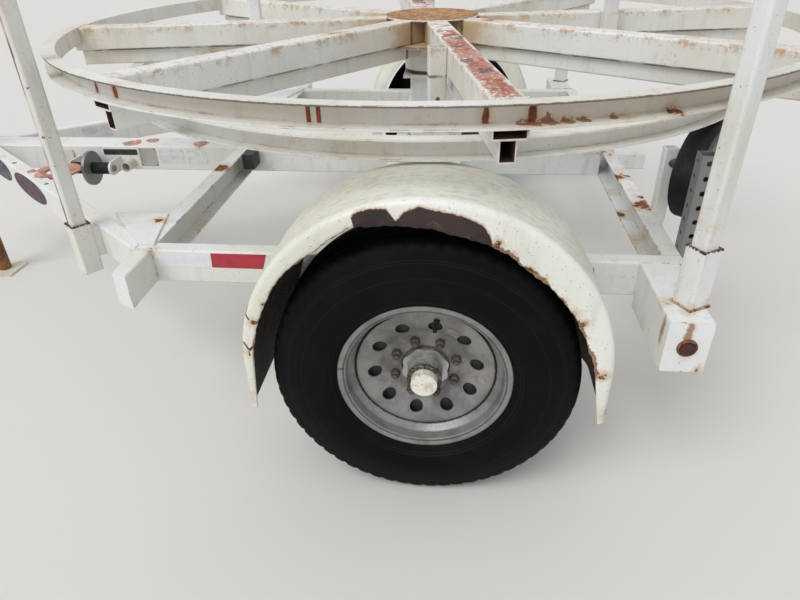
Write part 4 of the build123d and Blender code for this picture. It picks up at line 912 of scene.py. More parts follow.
chassis_steel = old_steel("black_painted_spring_steel", "35322F", "6B4A36", 0.45, 0.0, 0.6)
bright_steel = old_steel("worn_bright_steel", "C4C3BF", "8A6A4A", 0.1, 1.0, 0.38, size_mm=18)
zinc_steel = old_steel("galvanised_steel", "8E9091", "7A6B58", 0.18, 0.75, 0.5, size_mm=30)
rusty_steel = old_steel("rusted_mild_steel", "7A6A5C", "8F5A36", 0.8, 0.2, 0.7)
forged_eye = old_steel("forged_steel_towing_eye", "4B4641", "7A5238", 0.4, 0.35, 0.55)
greased_steel = old_steel("greased_bearing_steel", "2B2927", "4A3A2C", 0.25, 0.6, 0.35)
weld_rust = old_steel("rust_on_weld_bead", "B9A78C", "8A522C", 0.62, 0.0, 0.8, size_mm=22)
weld_white = old_steel("painted_weld_bead", "E0DFD8", "A8773F", 0.22, 0.0, 0.5, size_mm=26)
nut_steel = old_steel("plated_wheel_nut_steel", "5C5853", "4B3F37", 0.4, 0.6, 0.5, size_mm=12)
print("steels", chassis_steel.name, zinc_steel.name)

# %% [markdown]
# ## Wheels, hubs and the table's disc
# The wheels' silver paint is dull with brake dust round the hub. The hub is cast iron, worn
# bright at the top and black with grease below, with a cream cap. Both use the distance from
# the wheel's axis, so that dust and grease keep to their rings. The disc on top of the
# turntable has hardly any paint left, so rust is its ground and the paint is the flakes on it.

# %% Silver wheel paint, hub casting and disc


# Radii of two dark lines on a wheel: where the disc meets the rim, and at the rim's corner.
DISC_EDGE = 0.1795
RIM_CORNER = 0.2045
seam_marks = [
    (wheels["near"].x - 0.213 - 0.003 * step, -1.281, wheels["near"].z + 0.027, 0.005)
    for step in range(-3, 4)]


def wheel_paint():
    """Silver paint with brake dust near the hub and a dark line where disc meets rim."""
    made, tree, shader = new_material("silver_wheel_paint")
    place = put(tree, "PLACE")
    centre = wheels["near"]
    radius, _ = about_axis(tree, place, centre, (0, 1, 0))
    fine = put(tree, "NOISE", place, 1000 / 9, 6, 0.7)
    patchy = put(tree, "NOISE", place, 1000 / 60, 7, 0.68)
    colour = put(tree, "TINT", put(tree, "STEP", patchy, 0.4, 0.66), "93928F", "7B7976")
    dust = put(tree, "STEP", radius, 0.155, 0.085)
    dust = product(tree, dust, put(tree, "STEP", patchy, 0.34, 0.6))
    colour = put(tree, "TINT", product(tree, dust, 0.6), colour, "5D5853")
    uneven = put(tree, "ADD", radius, product(tree, put(tree, "SUBTRACT", fine, 0.5), 0.006))
    groove = put(tree, "ABSOLUTE", put(tree, "SUBTRACT", uneven, DISC_EDGE))
    groove = put(tree, "STEP", groove, 0.0042, 0.0018)
    lip = put(tree, "ABSOLUTE", put(tree, "SUBTRACT", uneven, RIM_CORNER))
    lip = put(tree, "STEP", lip, 0.0036, 0.001, 0.0, 0.7)
    rust = put(tree, "ADD", product(tree, patchy, 0.6), product(tree, fine, 0.4))
    rust = put(tree, "STEP", rust, 0.645, 0.68)
    colour = put(tree, "TINT", put(tree, "MAXIMUM", groove, lip), colour, "34302D")
    colour = put(tree, "TINT", near_spots(tree, place, seam_marks), colour, "2A2725")
    colour = put(tree, "TINT", product(tree, rust, 0.9), colour, "7D5537")
    dull = put(tree, "MAXIMUM", put(tree, "MAXIMUM", rust, groove), product(tree, dust, 0.6))
    tree.links.new(put(tree, "BETWEEN", dull, 0.4, 0.0), shader.inputs["Metallic"])
    relief = put(tree, "SUBTRACT", product(tree, fine, 0.25), groove)
    finish_shader(tree, shader, colour, put(tree, "BETWEEN", dull, 0.38, 0.8), relief, 1.5)
    return made


def hub_iron():
    """Cast hub: bright where it was rubbed, dark with grease below, a cream cap on its end."""
    made, tree, shader = new_material("cast_iron_hub_with_painted_cap")
    place = put(tree, "PLACE")
    x, y, z = add(tree, "ShaderNodeSeparateXYZ", {0: place}).outputs
    off = put(tree, "ABSOLUTE", y)
    radius, _ = about_axis(tree, place, wheels["near"], (0, 1, 0))
    fine = put(tree, "NOISE", place, 1000 / 6, 6, 0.72)
    patchy = put(tree, "NOISE", place, 1000 / 28, 7, 0.66)
    iron = put(tree, "TINT", put(tree, "STEP", patchy, 0.4, 0.64), "B5B3AD", "8F8A82")
    iron = put(tree, "TINT", put(tree, "STEP", fine, 0.5, 0.66), iron, "6F6A63")
    hub_z = wheels["near"].z
    grease = put(tree, "STEP", z, hub_z + 0.022, hub_z - 0.004)
    grease = put(tree, "MAXIMUM", grease, put(tree, "STEP", radius, 0.056, 0.062))
    near_cap = put(tree, "STEP", off, 1.262, 1.272)
    near_cap = product(tree, near_cap, put(tree, "STEP", fine, 0.38, 0.5))
    grease = put(tree, "MAXIMUM", grease, near_cap)
    iron = put(tree, "TINT", product(tree, grease, 0.93), iron, "2B2826")
    on_cap = put(tree, "STEP", off, 1.2764, 1.2768)
    on_cap = product(tree, on_cap, put(tree, "STEP", radius, 0.0345, 0.0335))
    cream = put(tree, "TINT", put(tree, "STEP", patchy, 0.42, 0.62), "E9E5DA", "C9BFA9")
    cream = put(tree, "TINT", put(tree, "STEP", fine, 0.6, 0.68), cream, "6E5A45")
    colour = put(tree, "TINT", on_cap, iron, cream)
    covered = put(tree, "MAXIMUM", on_cap, grease)
    tree.links.new(put(tree, "BETWEEN", covered, 0.6, 0.0), shader.inputs["Metallic"])
    finish_shader(tree, shader, colour, put(tree, "BETWEEN", on_cap, 0.62, 0.42), fine, 0.8)
    return made


def table_disc():
    """The hub's bare top disc: brown and yellow rust with flakes of white paint left."""
    made, tree, shader = new_material("rusted_top_disc")
    place = put(tree, "PLACE")
    fine = put(tree, "NOISE", place, 1000 / 11, 7, 0.74)
    patchy = put(tree, "NOISE", place, 1000 / 48, 8, 0.7)
    colour = put(tree, "TINT", put(tree, "STEP", patchy, 0.38, 0.62), "B98A4E", "8A5630")
    colour = put(tree, "TINT", put(tree, "STEP", fine, 0.54, 0.62), colour, "D9CDB4")
    colour = put(tree, "TINT", put(tree, "STEP", fine, 0.42, 0.34), colour, "5A3822")
    finish_shader(tree, shader, colour, put(tree, "STEP", fine, 0.3, 0.7, 0.7, 0.92), fine, 1.0)
    return made


silver_paint = wheel_paint()
cast_hub = hub_iron()
top_disc = table_disc()

# %% [markdown]
# ## Rubber, plastic and film
# Rubber hardly shines, so its specular level is low and its relief does most of the work. Moulded
# rings are drawn in the relief, because they are less than a millimetre deep. Plastic and vinyl
# film have an IOR of about 1.5, and the sun has faded them in patches.

# %% Rubber and plastic


def rubber(name, colour, dusty, dust, rough, centre=None, axis=None, rings_mm=(), worn="45413A"):
    """Black rubber with dust in its hollows; rings_mm are (radius, width) of moulded rings."""
    made, tree, shader = new_material(name)
    place = put(tree, "PLACE")
    fine = put(tree, "NOISE", place, 1000 / 4, 5, 0.7)
    patchy = put(tree, "NOISE", place, 1000 / 90, 6, 0.65)
    settled_dust = product(tree, put(tree, "STEP", patchy, 0.4, 0.75), dust)
    shade = put(tree, "TINT", settled_dust, colour, dusty)
    shade = put(tree, "TINT", put(tree, "STEP", fine, 0.64, 0.76, 0.0, 0.3 * dust), shade, "5B574F")
    relief = product(tree, fine, 0.25)
    if centre is not None:
        radius, _ = about_axis(tree, place, centre, axis)
        for ring_radius, wide in rings_mm:
            gap = put(tree, "ABSOLUTE", put(tree, "SUBTRACT", radius, ring_radius / 1000))
            line = put(tree, "STEP", gap, wide / 1000, wide / 4000)
            relief = put(tree, "SUBTRACT", relief, line)
            shade = put(tree, "TINT", product(tree, line, 0.5), shade, worn)
    dry = put(tree, "STEP", patchy, 0.3, 0.7, rough - 0.06, rough + 0.08)
    finish_shader(tree, shader, shade, dry, relief, 0.9)
    shader.inputs["IOR"].default_value = 1.5
    shader.inputs["Specular IOR Level"].default_value = 0.1
    return made


tyre_rubber = rubber(
    "carbon_black_tyre_rubber", "08090B", "1E1C1A", 0.4, 0.62, wheels["near"], (0, 1, 0),
    rings_mm=((236, 1.6), (243, 1.2), (306, 1.4), (341, 1.6), (347, 1.2)), worn="23211F")
drive_rubber = rubber(
    "solid_drive_rubber", "222427", "4C4D4E", 0.5, 0.66, drive_centre, drive_axis,
    rings_mm=((109, 2.4), (116.5, 2.0), (124.5, 2.4), (133, 2.0)), worn="B9BABA")
black_rubber = rubber("black_sleeve_rubber", "1E1F21", "4E4C48", 0.4, 0.62)


def moulded(name, colour, faded, rough, ior=1.49):
    """Moulded plastic or vinyl film: even colour, faded in patches, fine scratches."""
    made, tree, shader = new_material(name)
    place = put(tree, "PLACE")
    patchy = put(tree, "NOISE", place, 1000 / 30, 6, 0.6)
    fine = put(tree, "NOISE", place, 1000 / 3, 4, 0.6)
    shade = put(tree, "TINT", put(tree, "STEP", patchy, 0.4, 0.66), colour, faded)
    dull = put(tree, "STEP", patchy, 0.35, 0.7, rough, rough + 0.2)
    finish_shader(tree, shader, shade, dull, fine, 0.15, round_mm=0.6)
    shader.inputs["IOR"].default_value = ior
    return made


lamp_red = moulded("red_acrylic_lens", "8E1F1C", "5E1714", 0.22)
lamp_maroon = moulded("aged_red_acrylic_lens", "4A1F1E", "2F1716", 0.35)
tape_red = moulded("red_reflective_tape", "B3303F", "A12B3A", 0.3, ior=1.5)
tape_white = moulded("white_reflective_tape", "E3E5E8", "D8DCE0", 0.32, ior=1.5)
label_vinyl = moulded("blank_grey_vinyl_label", "D8DADA", "BDBFC0", 0.4)
label_white = moulded("blank_white_vinyl_label", "DDDEDC", "C9C9C4", 0.42)
label_brown = moulded("browned_vinyl_label", "948B82", "7B736B", 0.5)
# A dark band on the centre beam, in a moulded finish.
dark_band_finish = moulded("black_vinyl_band", "2A2C2F", "3B3C3E", 0.45)
decal_vinyl = moulded("weathered_dark_vinyl_decal", "5B5664", "3C3540", 0.45)
decal_worn = moulded("weathered_maroon_vinyl_decal", "5A3A42", "43404C", 0.5)
box_plastic = moulded("black_moulded_abs", "2B2C2E", "3C3C3B", 0.45)
print("rubbers and plastics", tyre_rubber.name, lamp_red.name)

# %% [markdown]
# ## Finishes on the model's own pieces
# Straight pieces are shown as the model has them, with a new finish. Round ones are shown by
# a smooth copy that stands for the node, in the same place and on the same body.

# %% Finishes
FLAT_FINISHES = {
    frame_enamel: (
        "side_rail_near", "side_rail_far", "front_crossmember", "rear_crossmember",
        "middle_crossmembers", "centre_beam", "tongue_rail_near", "tongue_rail_far",
        "front_outriggers", "rear_outriggers", "stake_sockets_front",
        "stake_sockets_rear", "fender_brackets"),
    clean_enamel: ("drive_upright_inner", "rear_receiver"),
    table_enamel: ("turntable_spokes_upper", "turntable_spokes_lower", "turntable_stake_sockets"),
    stake_enamel: ("outer_stakes", "turntable_stakes"),
    chassis_steel: ("spring_hangers", "drive_wheel_bracket", "brake_backing_plates"),
    zinc_steel: ("drive_upright_outer",),
    rusty_steel: ("turntable_stake_bolts",),
    box_plastic: ("junction_box",),
}
ROUND_FINISHES = {
    table_enamel: ("turntable_ring_upper", "turntable_ring_lower", "turntable_hub"),
    top_disc: ("turntable_hub_disc",),
    frame_enamel: ("turntable_pedestal", "roller_lugs"),
    greased_steel: ("turntable_thrust_ring",),
    chassis_steel: ("axle", "leaf_springs", "spring_clamps", "spring_shackles"),
    cast_hub: ("wheel_near_hub", "wheel_far_hub"),
    zinc_steel: ("drive_wheel_rim", "line_roller"),
    black_rubber: ("roller_sleeves",),
    forged_eye: ("towing_eye",),
    lamp_red: ("tail_lamps",),
    lamp_maroon: ("marker_lamps",),
    rusty_steel: ("jack_crank",),
}
for finish, names in FLAT_FINISHES.items():
    for name in names:
        nodes[name].data.materials.clear()
        nodes[name].data.materials.append(finish)


def smooth_copy(name, finish):
    """A node's copy with merged points and smooth shading, shown in its place."""
    copy = settled(nodes[name].data.copy(), turn_out=False)
    copy.materials.clear()
    piece(f"{name}_smooth", copy, body_of(nodes[name])[0], finish, [name])


for finish, names in ROUND_FINISHES.items():
    for name in names:
        smooth_copy(name, finish)
flat_count, round_count = (
    sum(len(names) for names in table.values()) for table in (FLAT_FINISHES, ROUND_FINISHES))
print("flat", flat_count, "round", round_count)

# %% [markdown]
# ## Tyres
# A trailer tyre has a few straight grooves round its tread and short slots across its
# shoulders. Its section swept round a circle is a shape that follows a rule, so a Geometry
# Nodes tree makes it: the section is drawn once, the tree sweeps it, and every so many steps
# it presses the shoulder in. The section is closed, with an inner wall, as a real casing is.

# %% Tyre tree
tyre_tree, given = new_tree("swept_tyre", {
    "Seat Radius": LENGTH, "Steps": "NodeSocketInt", "Slot Deep": LENGTH, "Shoulder Radius": LENGTH,
    "Shoulder Low": LENGTH})
section_line = add(tyre_tree, "GeometryNodeMeshToCurve", {"Mesh": given["Geometry"]}).outputs[0]
circle = add(tyre_tree, "GeometryNodeCurvePrimitiveCircle", {
    "Resolution": given["Steps"], "Radius": given["Seat Radius"]}).outputs["Curve"]
numbered = add(tyre_tree, "GeometryNodeCaptureAttribute", {"Geometry": circle}, domain="POINT")
numbered.capture_items.new("INT", "step")
tyre_tree.links.new(add(tyre_tree, "GeometryNodeInputIndex").outputs[0], numbered.inputs["step"])
swept = add(tyre_tree, "GeometryNodeCurveToMesh", {
    "Curve": numbered.outputs["Geometry"], "Profile Curve": section_line}).outputs["Mesh"]
spot = add(tyre_tree, "GeometryNodeInputPosition").outputs[0]
flat_spot = put(tyre_tree, "TIMES", spot, (1, 1, 0))
spot_radius = put(tyre_tree, "LONG", flat_spot)
spot_out = put(tyre_tree, "UNIT", flat_spot)
spot_across = add(tyre_tree, "ShaderNodeSeparateXYZ", {0: spot}).outputs["Z"]
spot_side = put(tyre_tree, "ABSOLUTE", spot_across)
beyond = put(tyre_tree, "GREATER_THAN", spot_side, given["Shoulder Low"])
high_up = put(tyre_tree, "GREATER_THAN", spot_radius, given["Shoulder Radius"])
turn_number = put(tyre_tree, "FLOORED_MODULO", numbered.outputs["step"], 4.0)
slot_here = put(tyre_tree, "LESS_THAN", turn_number, 0.5)
pressed = product(tyre_tree, beyond, high_up, slot_here)
push = put(tyre_tree, "MULTIPLY", given["Slot Deep"], -1.0)
inward = add(
    tyre_tree, "ShaderNodeVectorMath", {0: spot_out, "Scale": push}, operation="SCALE").outputs[0]
slotted = add(tyre_tree, "GeometryNodeSetPosition", {
    "Geometry": swept, "Selection": pressed, "Offset": inward}).outputs[0]
stood_up = add(tyre_tree, "GeometryNodeTransform", {
    "Geometry": slotted, "Rotation": (math.radians(90), 0, 0)}).outputs[0]
close_tree(tyre_tree, given, stood_up)

# %% Tyres
# One half of the section, from the middle of the tread over the shoulder and down to the bead,
# then back inside: (distance across the tyre, radius). SEAT is the radius it is swept at.
SEAT = 0.2034
half_section = (
    (0.008, 0.3868), (0.0135, 0.3868), (0.0145, 0.3795), (0.0205, 0.3795), (0.0215, 0.3866),
    (0.046, 0.3862), (0.047, 0.3790), (0.053, 0.3790), (0.054, 0.3858), (0.078, 0.3838),
    (0.086, 0.3815), (0.0925, 0.3760), (0.0965, 0.3680), (0.1005, 0.3560), (0.1060, 0.3400),
    (0.1108, 0.3240), (0.1150, 0.3060), (0.1172, 0.2900), (0.1170, 0.2740), (0.1148, 0.2600),
    (0.1110, 0.2470), (0.1102, 0.2440), (0.1080, 0.2425), (0.1015, 0.2330), (0.0940, 0.2255),
    (0.0905, 0.2215), (0.0826, 0.2040), (0.0700, 0.2040), (0.0800, 0.2300), (0.0950, 0.2700),
    (0.0955, 0.3100), (0.0900, 0.3400), (0.0780, 0.3600), (0.0400, 0.3640))
other_half = [(-across, radius) for across, radius in reversed(half_section)]
whole_section = [*half_section, *other_half]
TYRE_STEPS = 240


def tyre(side):
    """One tyre at its wheel, from the section above."""
    ring = bpy.data.meshes.new(f"section_{side}")
    count = len(whole_section)
    ring.from_pydata(
        [(radius - SEAT, across, 0) for across, radius in whole_section],
        [(i, (i + 1) % count) for i in range(count)], [])
    mesh = grown(
        f"tyre_{side}", ring, tyre_tree, seat_radius=SEAT, steps=TYRE_STEPS, slot_deep=0.006,
        shoulder_radius=0.372, shoulder_low=0.082, material=tyre_rubber)
    mesh.transform(Matrix.Translation(wheels[side]))
    return settled(mesh, 40)


for side in wheels:
    piece(f"tyre_{side}", tyre(side), f"wheel_{side}", tyre_rubber, [f"wheel_{side}_tyre"])

# %% [markdown]
# ## Wheels
# A steel wheel is a rolled rim with a pressed disc welded in. The disc is dished: flat where
# the nuts sit, then a shallow cone with ten hand holes, so the holes at the foot look round
# from above and those at the top look narrow. Rim and disc are turned from outlines, and a
# Boolean cuts the holes through the cone.

# %% Rims and discs
# Outlines as (distance from the trailer's middle, radius), from the hub outwards: the disc's
# face, the rim's outer side up to its lip, and the rim's back as far as the drop centre.
DISH = (
    (1.2165, 0.0620), (1.2165, 0.1030), (1.2180, 0.1085), (1.2205, 0.1130), (1.2255, 0.1220),
    (1.2300, 0.1320), (1.2335, 0.1420), (1.2362, 0.1520), (1.2383, 0.1620), (1.2393, 0.1700),
    (1.2392, 0.1750), (1.2380, 0.1785), (1.2350, 0.1798))
DISC_THICK = 0.0045
RIM_FACE = (
    (1.2240, 0.1802), (1.2345, 0.1802), (1.2378, 0.1822), (1.2435, 0.1885), (1.2452, 0.1900),
    (1.2495, 0.1945), (1.2530, 0.1972), (1.2562, 0.1982), (1.2750, 0.1986), (1.2782, 0.1998),
    (1.2800, 0.2035), (1.2806, 0.2075), (1.2822, 0.2110), (1.2828, 0.2150), (1.2827, 0.2180),
    (1.2818, 0.2195), (1.2797, 0.2200))
RIM_BACK = (
    (1.2762, 0.2115), (1.2728, 0.2032), (1.2485, 0.2032), (1.2395, 0.1940), (1.2305, 0.1850),
    (1.1900, 0.1850))
# Where the rim's inner face ends, under the disc: (distance from the hub's middle, radius).
RIM_INSIDE = (-0.0425, 0.1800)
HAND_HOLES = 10
HAND_HOLE_RADIUS = 0.0178
HAND_HOLE_CIRCLE = 0.132
hole_angles = [math.radians(7.5 + 360 / HAND_HOLES * number) for number in range(HAND_HOLES)]


def on_wheel(side, angle, radius, off):
    """Place on a wheel: angle from the tail side upwards, radius, and distance off from the
    trailer's middle."""
    centre = wheels[side]
    level, high = math.cos(angle) * radius, math.sin(angle) * radius
    return Vector((centre.x + level, outward[side].y * off, centre.z + high))


def dish_face(radius):
    """How far out the disc's face is at a radius."""
    for (first_off, first), (last_off, last) in zip(DISH, DISH[1:]):
        if first <= radius <= last:
            return first_off + (last_off - first_off) * (radius - first) / (last - first)
    return DISH[-1][0]


def rim(side):
    """Rim and disc of one wheel, as outlines turned about its axle."""
    hub = abs(wheels[side].y)
    face = [(off - hub, radius) for off, radius in RIM_FACE + RIM_BACK]
    back = [(hub - off, radius) for off, radius in reversed(RIM_FACE[1:] + RIM_BACK[:-1])]
    barrel = [*face, *back, RIM_INSIDE, face[0]]
    barrel_mesh = turned(f"rim_{side}", barrel, wheels[side], outward[side], 160)
    disc = [(off - hub, radius) for off, radius in DISH]
    disc += [(off - hub - DISC_THICK, radius) for off, radius in reversed(DISH)]
    disc_mesh = turned(f"disc_{side}", disc + [disc[0]], wheels[side], outward[side], 160)
    drill = ((0.015, 0), (0.015, HAND_HOLE_RADIUS), (0.06, HAND_HOLE_RADIUS), (0.06, 0))
    cutters = [
        turned("hand_hole", drill, on_wheel(side, angle, HAND_HOLE_CIRCLE, hub), outward[side], 40)
        for angle in hole_angles]
    blank = bpy.data.objects.new("disc_blank", disc_mesh)
    cutter = bpy.data.objects.new("hand_hole_cutter", joined("cutters", cutters))
    for made in (blank, cutter):
        scene.collection.objects.link(made)
    cut = blank.modifiers.new("hand_holes", "BOOLEAN")
    cut.operation = "DIFFERENCE"
    cut.object = cutter
    graph = bpy.context.evaluated_depsgraph_get()
    drilled = bpy.data.meshes.new_from_object(blank.evaluated_get(graph))
    for made in (blank, cutter):
        bpy.data.objects.remove(made)
    return joined(f"wheel_rim_{side}", [barrel_mesh, settled(drilled, 34, turn_out=False)])


for side in wheels:
    rim_mesh = rim(side)
    piece(
        f"wheel_rim_{side}", rim_mesh, f"wheel_{side}", silver_paint, [f"wheel_{side}_rim"])
    print("rim", side, len(rim_mesh.polygons), "faces")

# %% [markdown]
# ## What is bolted to the wheels
# Eight nuts hold each wheel, on studs set in the hub's flange. The flange is a bright, worn
# casting with a scalloped edge, one lobe a stud. A rubber valve stem comes up through the
# wheel, and two blank labels are stuck on the near one.

# %% Wheel nuts, flange, valve and labels
NUTS = 8
NUT_CIRCLE = 0.0825
nut_angles = [math.radians(18.5 + 360 / NUTS * number) for number in range(NUTS)]
nut_seat = DISH[0][0] - 0.0005
FLANGE_RADIUS = 0.0595
FLANGE_LOBE = 0.0028
FLANGE_STEPS = 96
FLANGE_THICK = 0.0095
VALVE_ANGLE = math.radians(79.5)
# The valve stem's outline: (distance along it, radius), from its foot to its cap.
VALVE_STEM = (
    (0, 0), (0, 0.0075), (0.006, 0.0078), (0.009, 0.0056), (0.022, 0.0042), (0.0245, 0.0042),
    (0.025, 0.0049), (0.0335, 0.0049), (0.0345, 0.004), (0.0345, 0))

for side in wheels:
    nut_places = [
        (on_wheel(side, angle, NUT_CIRCLE, nut_seat), outward[side]) for angle in nut_angles]
    nuts_mesh = grown(
        f"wheel_nuts_{side}", points_facing("nut_points", nut_places), nut_tree,
        across_corners=0.0262, nut_high=0.017, stud_radius=0.0068, stud_long=0.0245, seed=3,
        material=nut_steel)
    nuts_mesh = settled(nuts_mesh, 24)
    piece(f"wheel_nuts_{side}", nuts_mesh, f"wheel_{side}", nut_steel)
    scallop = []
    for step in range(FLANGE_STEPS):
        angle = math.tau * step / FLANGE_STEPS
        edge = FLANGE_RADIUS + FLANGE_LOBE * math.cos(NUTS * (angle - nut_angles[0]))
        scallop.append((math.cos(angle) * edge, math.sin(angle) * edge))
    along = TAILWARD if side == "near" else -TAILWARD
    origin = Vector((wheels[side].x, outward[side].y * 1.2225, wheels[side].z))
    flange = plate(f"hub_flange_{side}", scallop, origin, along, SKY, FLANGE_THICK)
    piece(f"hub_flange_{side}", flange, f"wheel_{side}", bright_steel)
    stem_foot = on_wheel(side, VALVE_ANGLE, 0.158, 1.236)
    stem_tip = on_wheel(side, VALVE_ANGLE, 0.124, 1.246)
    stem = turned(f"valve_stem_{side}", VALVE_STEM, stem_foot, stem_tip - stem_foot, 20)
    piece(f"valve_stem_{side}", stem, f"wheel_{side}", black_rubber)
for name, degrees, radius, outline in (
        ("wheel_label", 58.4, 0.131, oval(0.034, 0.024, 8, 32)),
        ("wheel_label_oval", -11.8, 0.142, oval(0.022, 0.036))):
    angle = math.radians(degrees)
    foot, top = (
        on_wheel("near", angle, at, dish_face(at)) for at in (radius - 0.012, radius + 0.012))
    upward = (top - foot).normalized()
    along = upward.cross(outward["near"]).normalized()
    middle = (foot + top) / 2 + along.cross(upward) * 0.0009
    label = plate(name, outline, middle, along, upward, LABEL_FILM)
    piece(name, label, "wheel_near", label_brown)
print("nut circle", NUT_CIRCLE)

# %% [markdown]
# ## Fenders
# A fender is one sheet rolled over the tyre: a flange against the frame, a flat crown, and a
# rolled outer edge that hangs over the tyre. The near one has been hit. Its lip's lower edge
# wanders in and out by centimetres, the paint is gone from a patch over the wheel, and cracks
# run down its front end. The section is swept along the arch in code, because the depth of its
# lip changes from step to step. Solidify gives the sheet its thickness, and its inner side gets
# a second finish, the dark undercoat.

# %% Fender sheet
fender_low, fender_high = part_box("fender_near")
FENDER_RADIUS = (fender_high.x - fender_low.x) / 2
arch_x = (fender_high.x + fender_low.x) / 2
arch_z = fender_high.z - FENDER_RADIUS
SHEET_THICK = 0.003
END_STEPS = 10
ARCH_STEPS = 144
BEND_STEPS = 8
FLANGE_DEEP = 0.069
# The crown's outer edge is rolled over a small radius. Towards the frame it falls away in a
# wide, flat bend, as wide as INNER_WIDE and as deep as INNER_ROLL, down to the flange.
ROLL = 0.016
INNER_ROLL = 0.065
INNER_WIDE = 0.09
# The lip's lower edge: (degrees from the top towards the tail, radius from the arch's middle).
NEAR_LIP = (
    (-90, 0.418), (-76, 0.413), (-66, 0.410), (-53, 0.410), (-37, 0.400), (-22, 0.409),
    (-13.6, 0.395), (-1.3, 0.383), (11.5, 0.372), (28, 0.371), (38, 0.364), (53, 0.372),
    (65, 0.379), (76, 0.387), (87, 0.401), (90, 0.406))
FAR_LIP = ((-90, 0.418), (-60, 0.400), (60, 0.398), (90, 0.418))


def read_off(table, value):
    """Value of a table of (place, value) pairs, smoothed between its entries."""
    for (low, first), (high, second) in zip(table, table[1:]):
        if value <= high:
            share = max(0.0, (value - low) / (high - low))
            share = share * share * (3 - 2 * share)
            return first + (second - first) * share
    return table[-1][1]


def fender(side, lips):
    """Sheet of a fender: its section swept up one end, over the arch and down the other. Its
    faces look outwards, so that Solidify adds the thickness inside."""
    end_long = arch_z - fender_low.z
    ends = [fender_low.z + end_long * step / END_STEPS for step in range(END_STEPS)]
    stations = [(-90, z) for z in ends]
    stations += [(180 * step / ARCH_STEPS - 90, arch_z) for step in range(ARCH_STEPS + 1)]
    stations += [(90, z) for z in reversed(ends)]
    points = []
    for angle, z in stations:
        fall = (arch_z - z) / end_long
        lip = FENDER_RADIUS - read_off(lips, angle)
        lip = lip + (0.019 - lip) * fall
        lip += 0.0012 * math.sin(angle * 1.7) + 0.0008 * math.sin(angle * 4.3 + 1)
        section = [(fender_high.y, FLANGE_DEEP), (fender_high.y, INNER_ROLL + 0.004)]
        for step in range(BEND_STEPS + 1):
            t = math.radians(90) * step / BEND_STEPS
            section.append((
                fender_high.y - INNER_WIDE * (1 - math.cos(t)), INNER_ROLL * (1 - math.sin(t))))
        flat_start, flat_end = fender_high.y - INNER_WIDE, fender_low.y + ROLL
        for step in range(1, BEND_STEPS + 1):
            across = flat_start + (flat_end - flat_start) * step / (BEND_STEPS + 1)
            section.append((across, 0.0))
        for step in range(BEND_STEPS):
            t = math.radians(90) * step / (BEND_STEPS - 1)
            section.append((flat_end - ROLL * math.sin(t), ROLL - ROLL * math.cos(t)))
        for share in (0.25, 0.5, 0.75, 0.92, 1.0):
            tuck = 0.0035 * max(0.0, share - 0.75) * 4
            section.append((fender_low.y + tuck, ROLL + (lip - ROLL) * share))
        away = Vector((math.sin(math.radians(angle)), 0, math.cos(math.radians(angle))))
        middle = Vector((arch_x, 0, z))
        mirror = 1 if side == "near" else -1
        points += [
            middle + away * (FENDER_RADIUS - deep) + Vector((0, y * mirror, 0))
            for y, deep in section]
    rows = len(section)
    faces = [
        (at + row, at + row + 1, at + rows + row + 1, at + rows + row)
        for at in range(0, rows * (len(stations) - 1), rows) for row in range(rows - 1)]
    mesh = bpy.data.meshes.new(f"fender_{side}")
    mesh.from_pydata(points, [], faces)
    crown = mesh.polygons[len(stations) // 2 * (rows - 1) + rows // 2]
    if crown.normal.z < 0:
        mesh.flip_normals()
    return mesh


print("fender radius", round(FENDER_RADIUS, 4), "arch's middle", round(arch_x, 4))

# %% [markdown]
# ## The fenders' paint
# The bare patch over the wheel and the line of rust along the lip both have an outline of their
# own, that no noise would give. A Float Curve node holds each outline as a radius for each
# angle, the noise then frays it, and the paint ends where the curve says.

# %% Fender paint


def drawn_line(tree, degrees, table, low, high, floor, tall):
    """Radius that a line drawn by hand has at each angle; the table has (angle, radius) pairs."""
    curve = add(tree, "ShaderNodeFloatCurve", {"Value": put(tree, "SLOPE", degrees, low, high)})
    line = curve.mapping.curves[0]
    for angle, radius in table[1:-1]:
        line.points.new((angle - low) / (high - low), (radius - floor) / tall)
    line.points[0].location = (0, (table[0][1] - floor) / tall)
    line.points[-1].location = (1, (table[-1][1] - floor) / tall)
    for point in line.points:
        point.handle_type = "VECTOR"
    curve.mapping.update()
    return put(tree, "ADD", product(tree, curve.outputs[0], tall), floor)


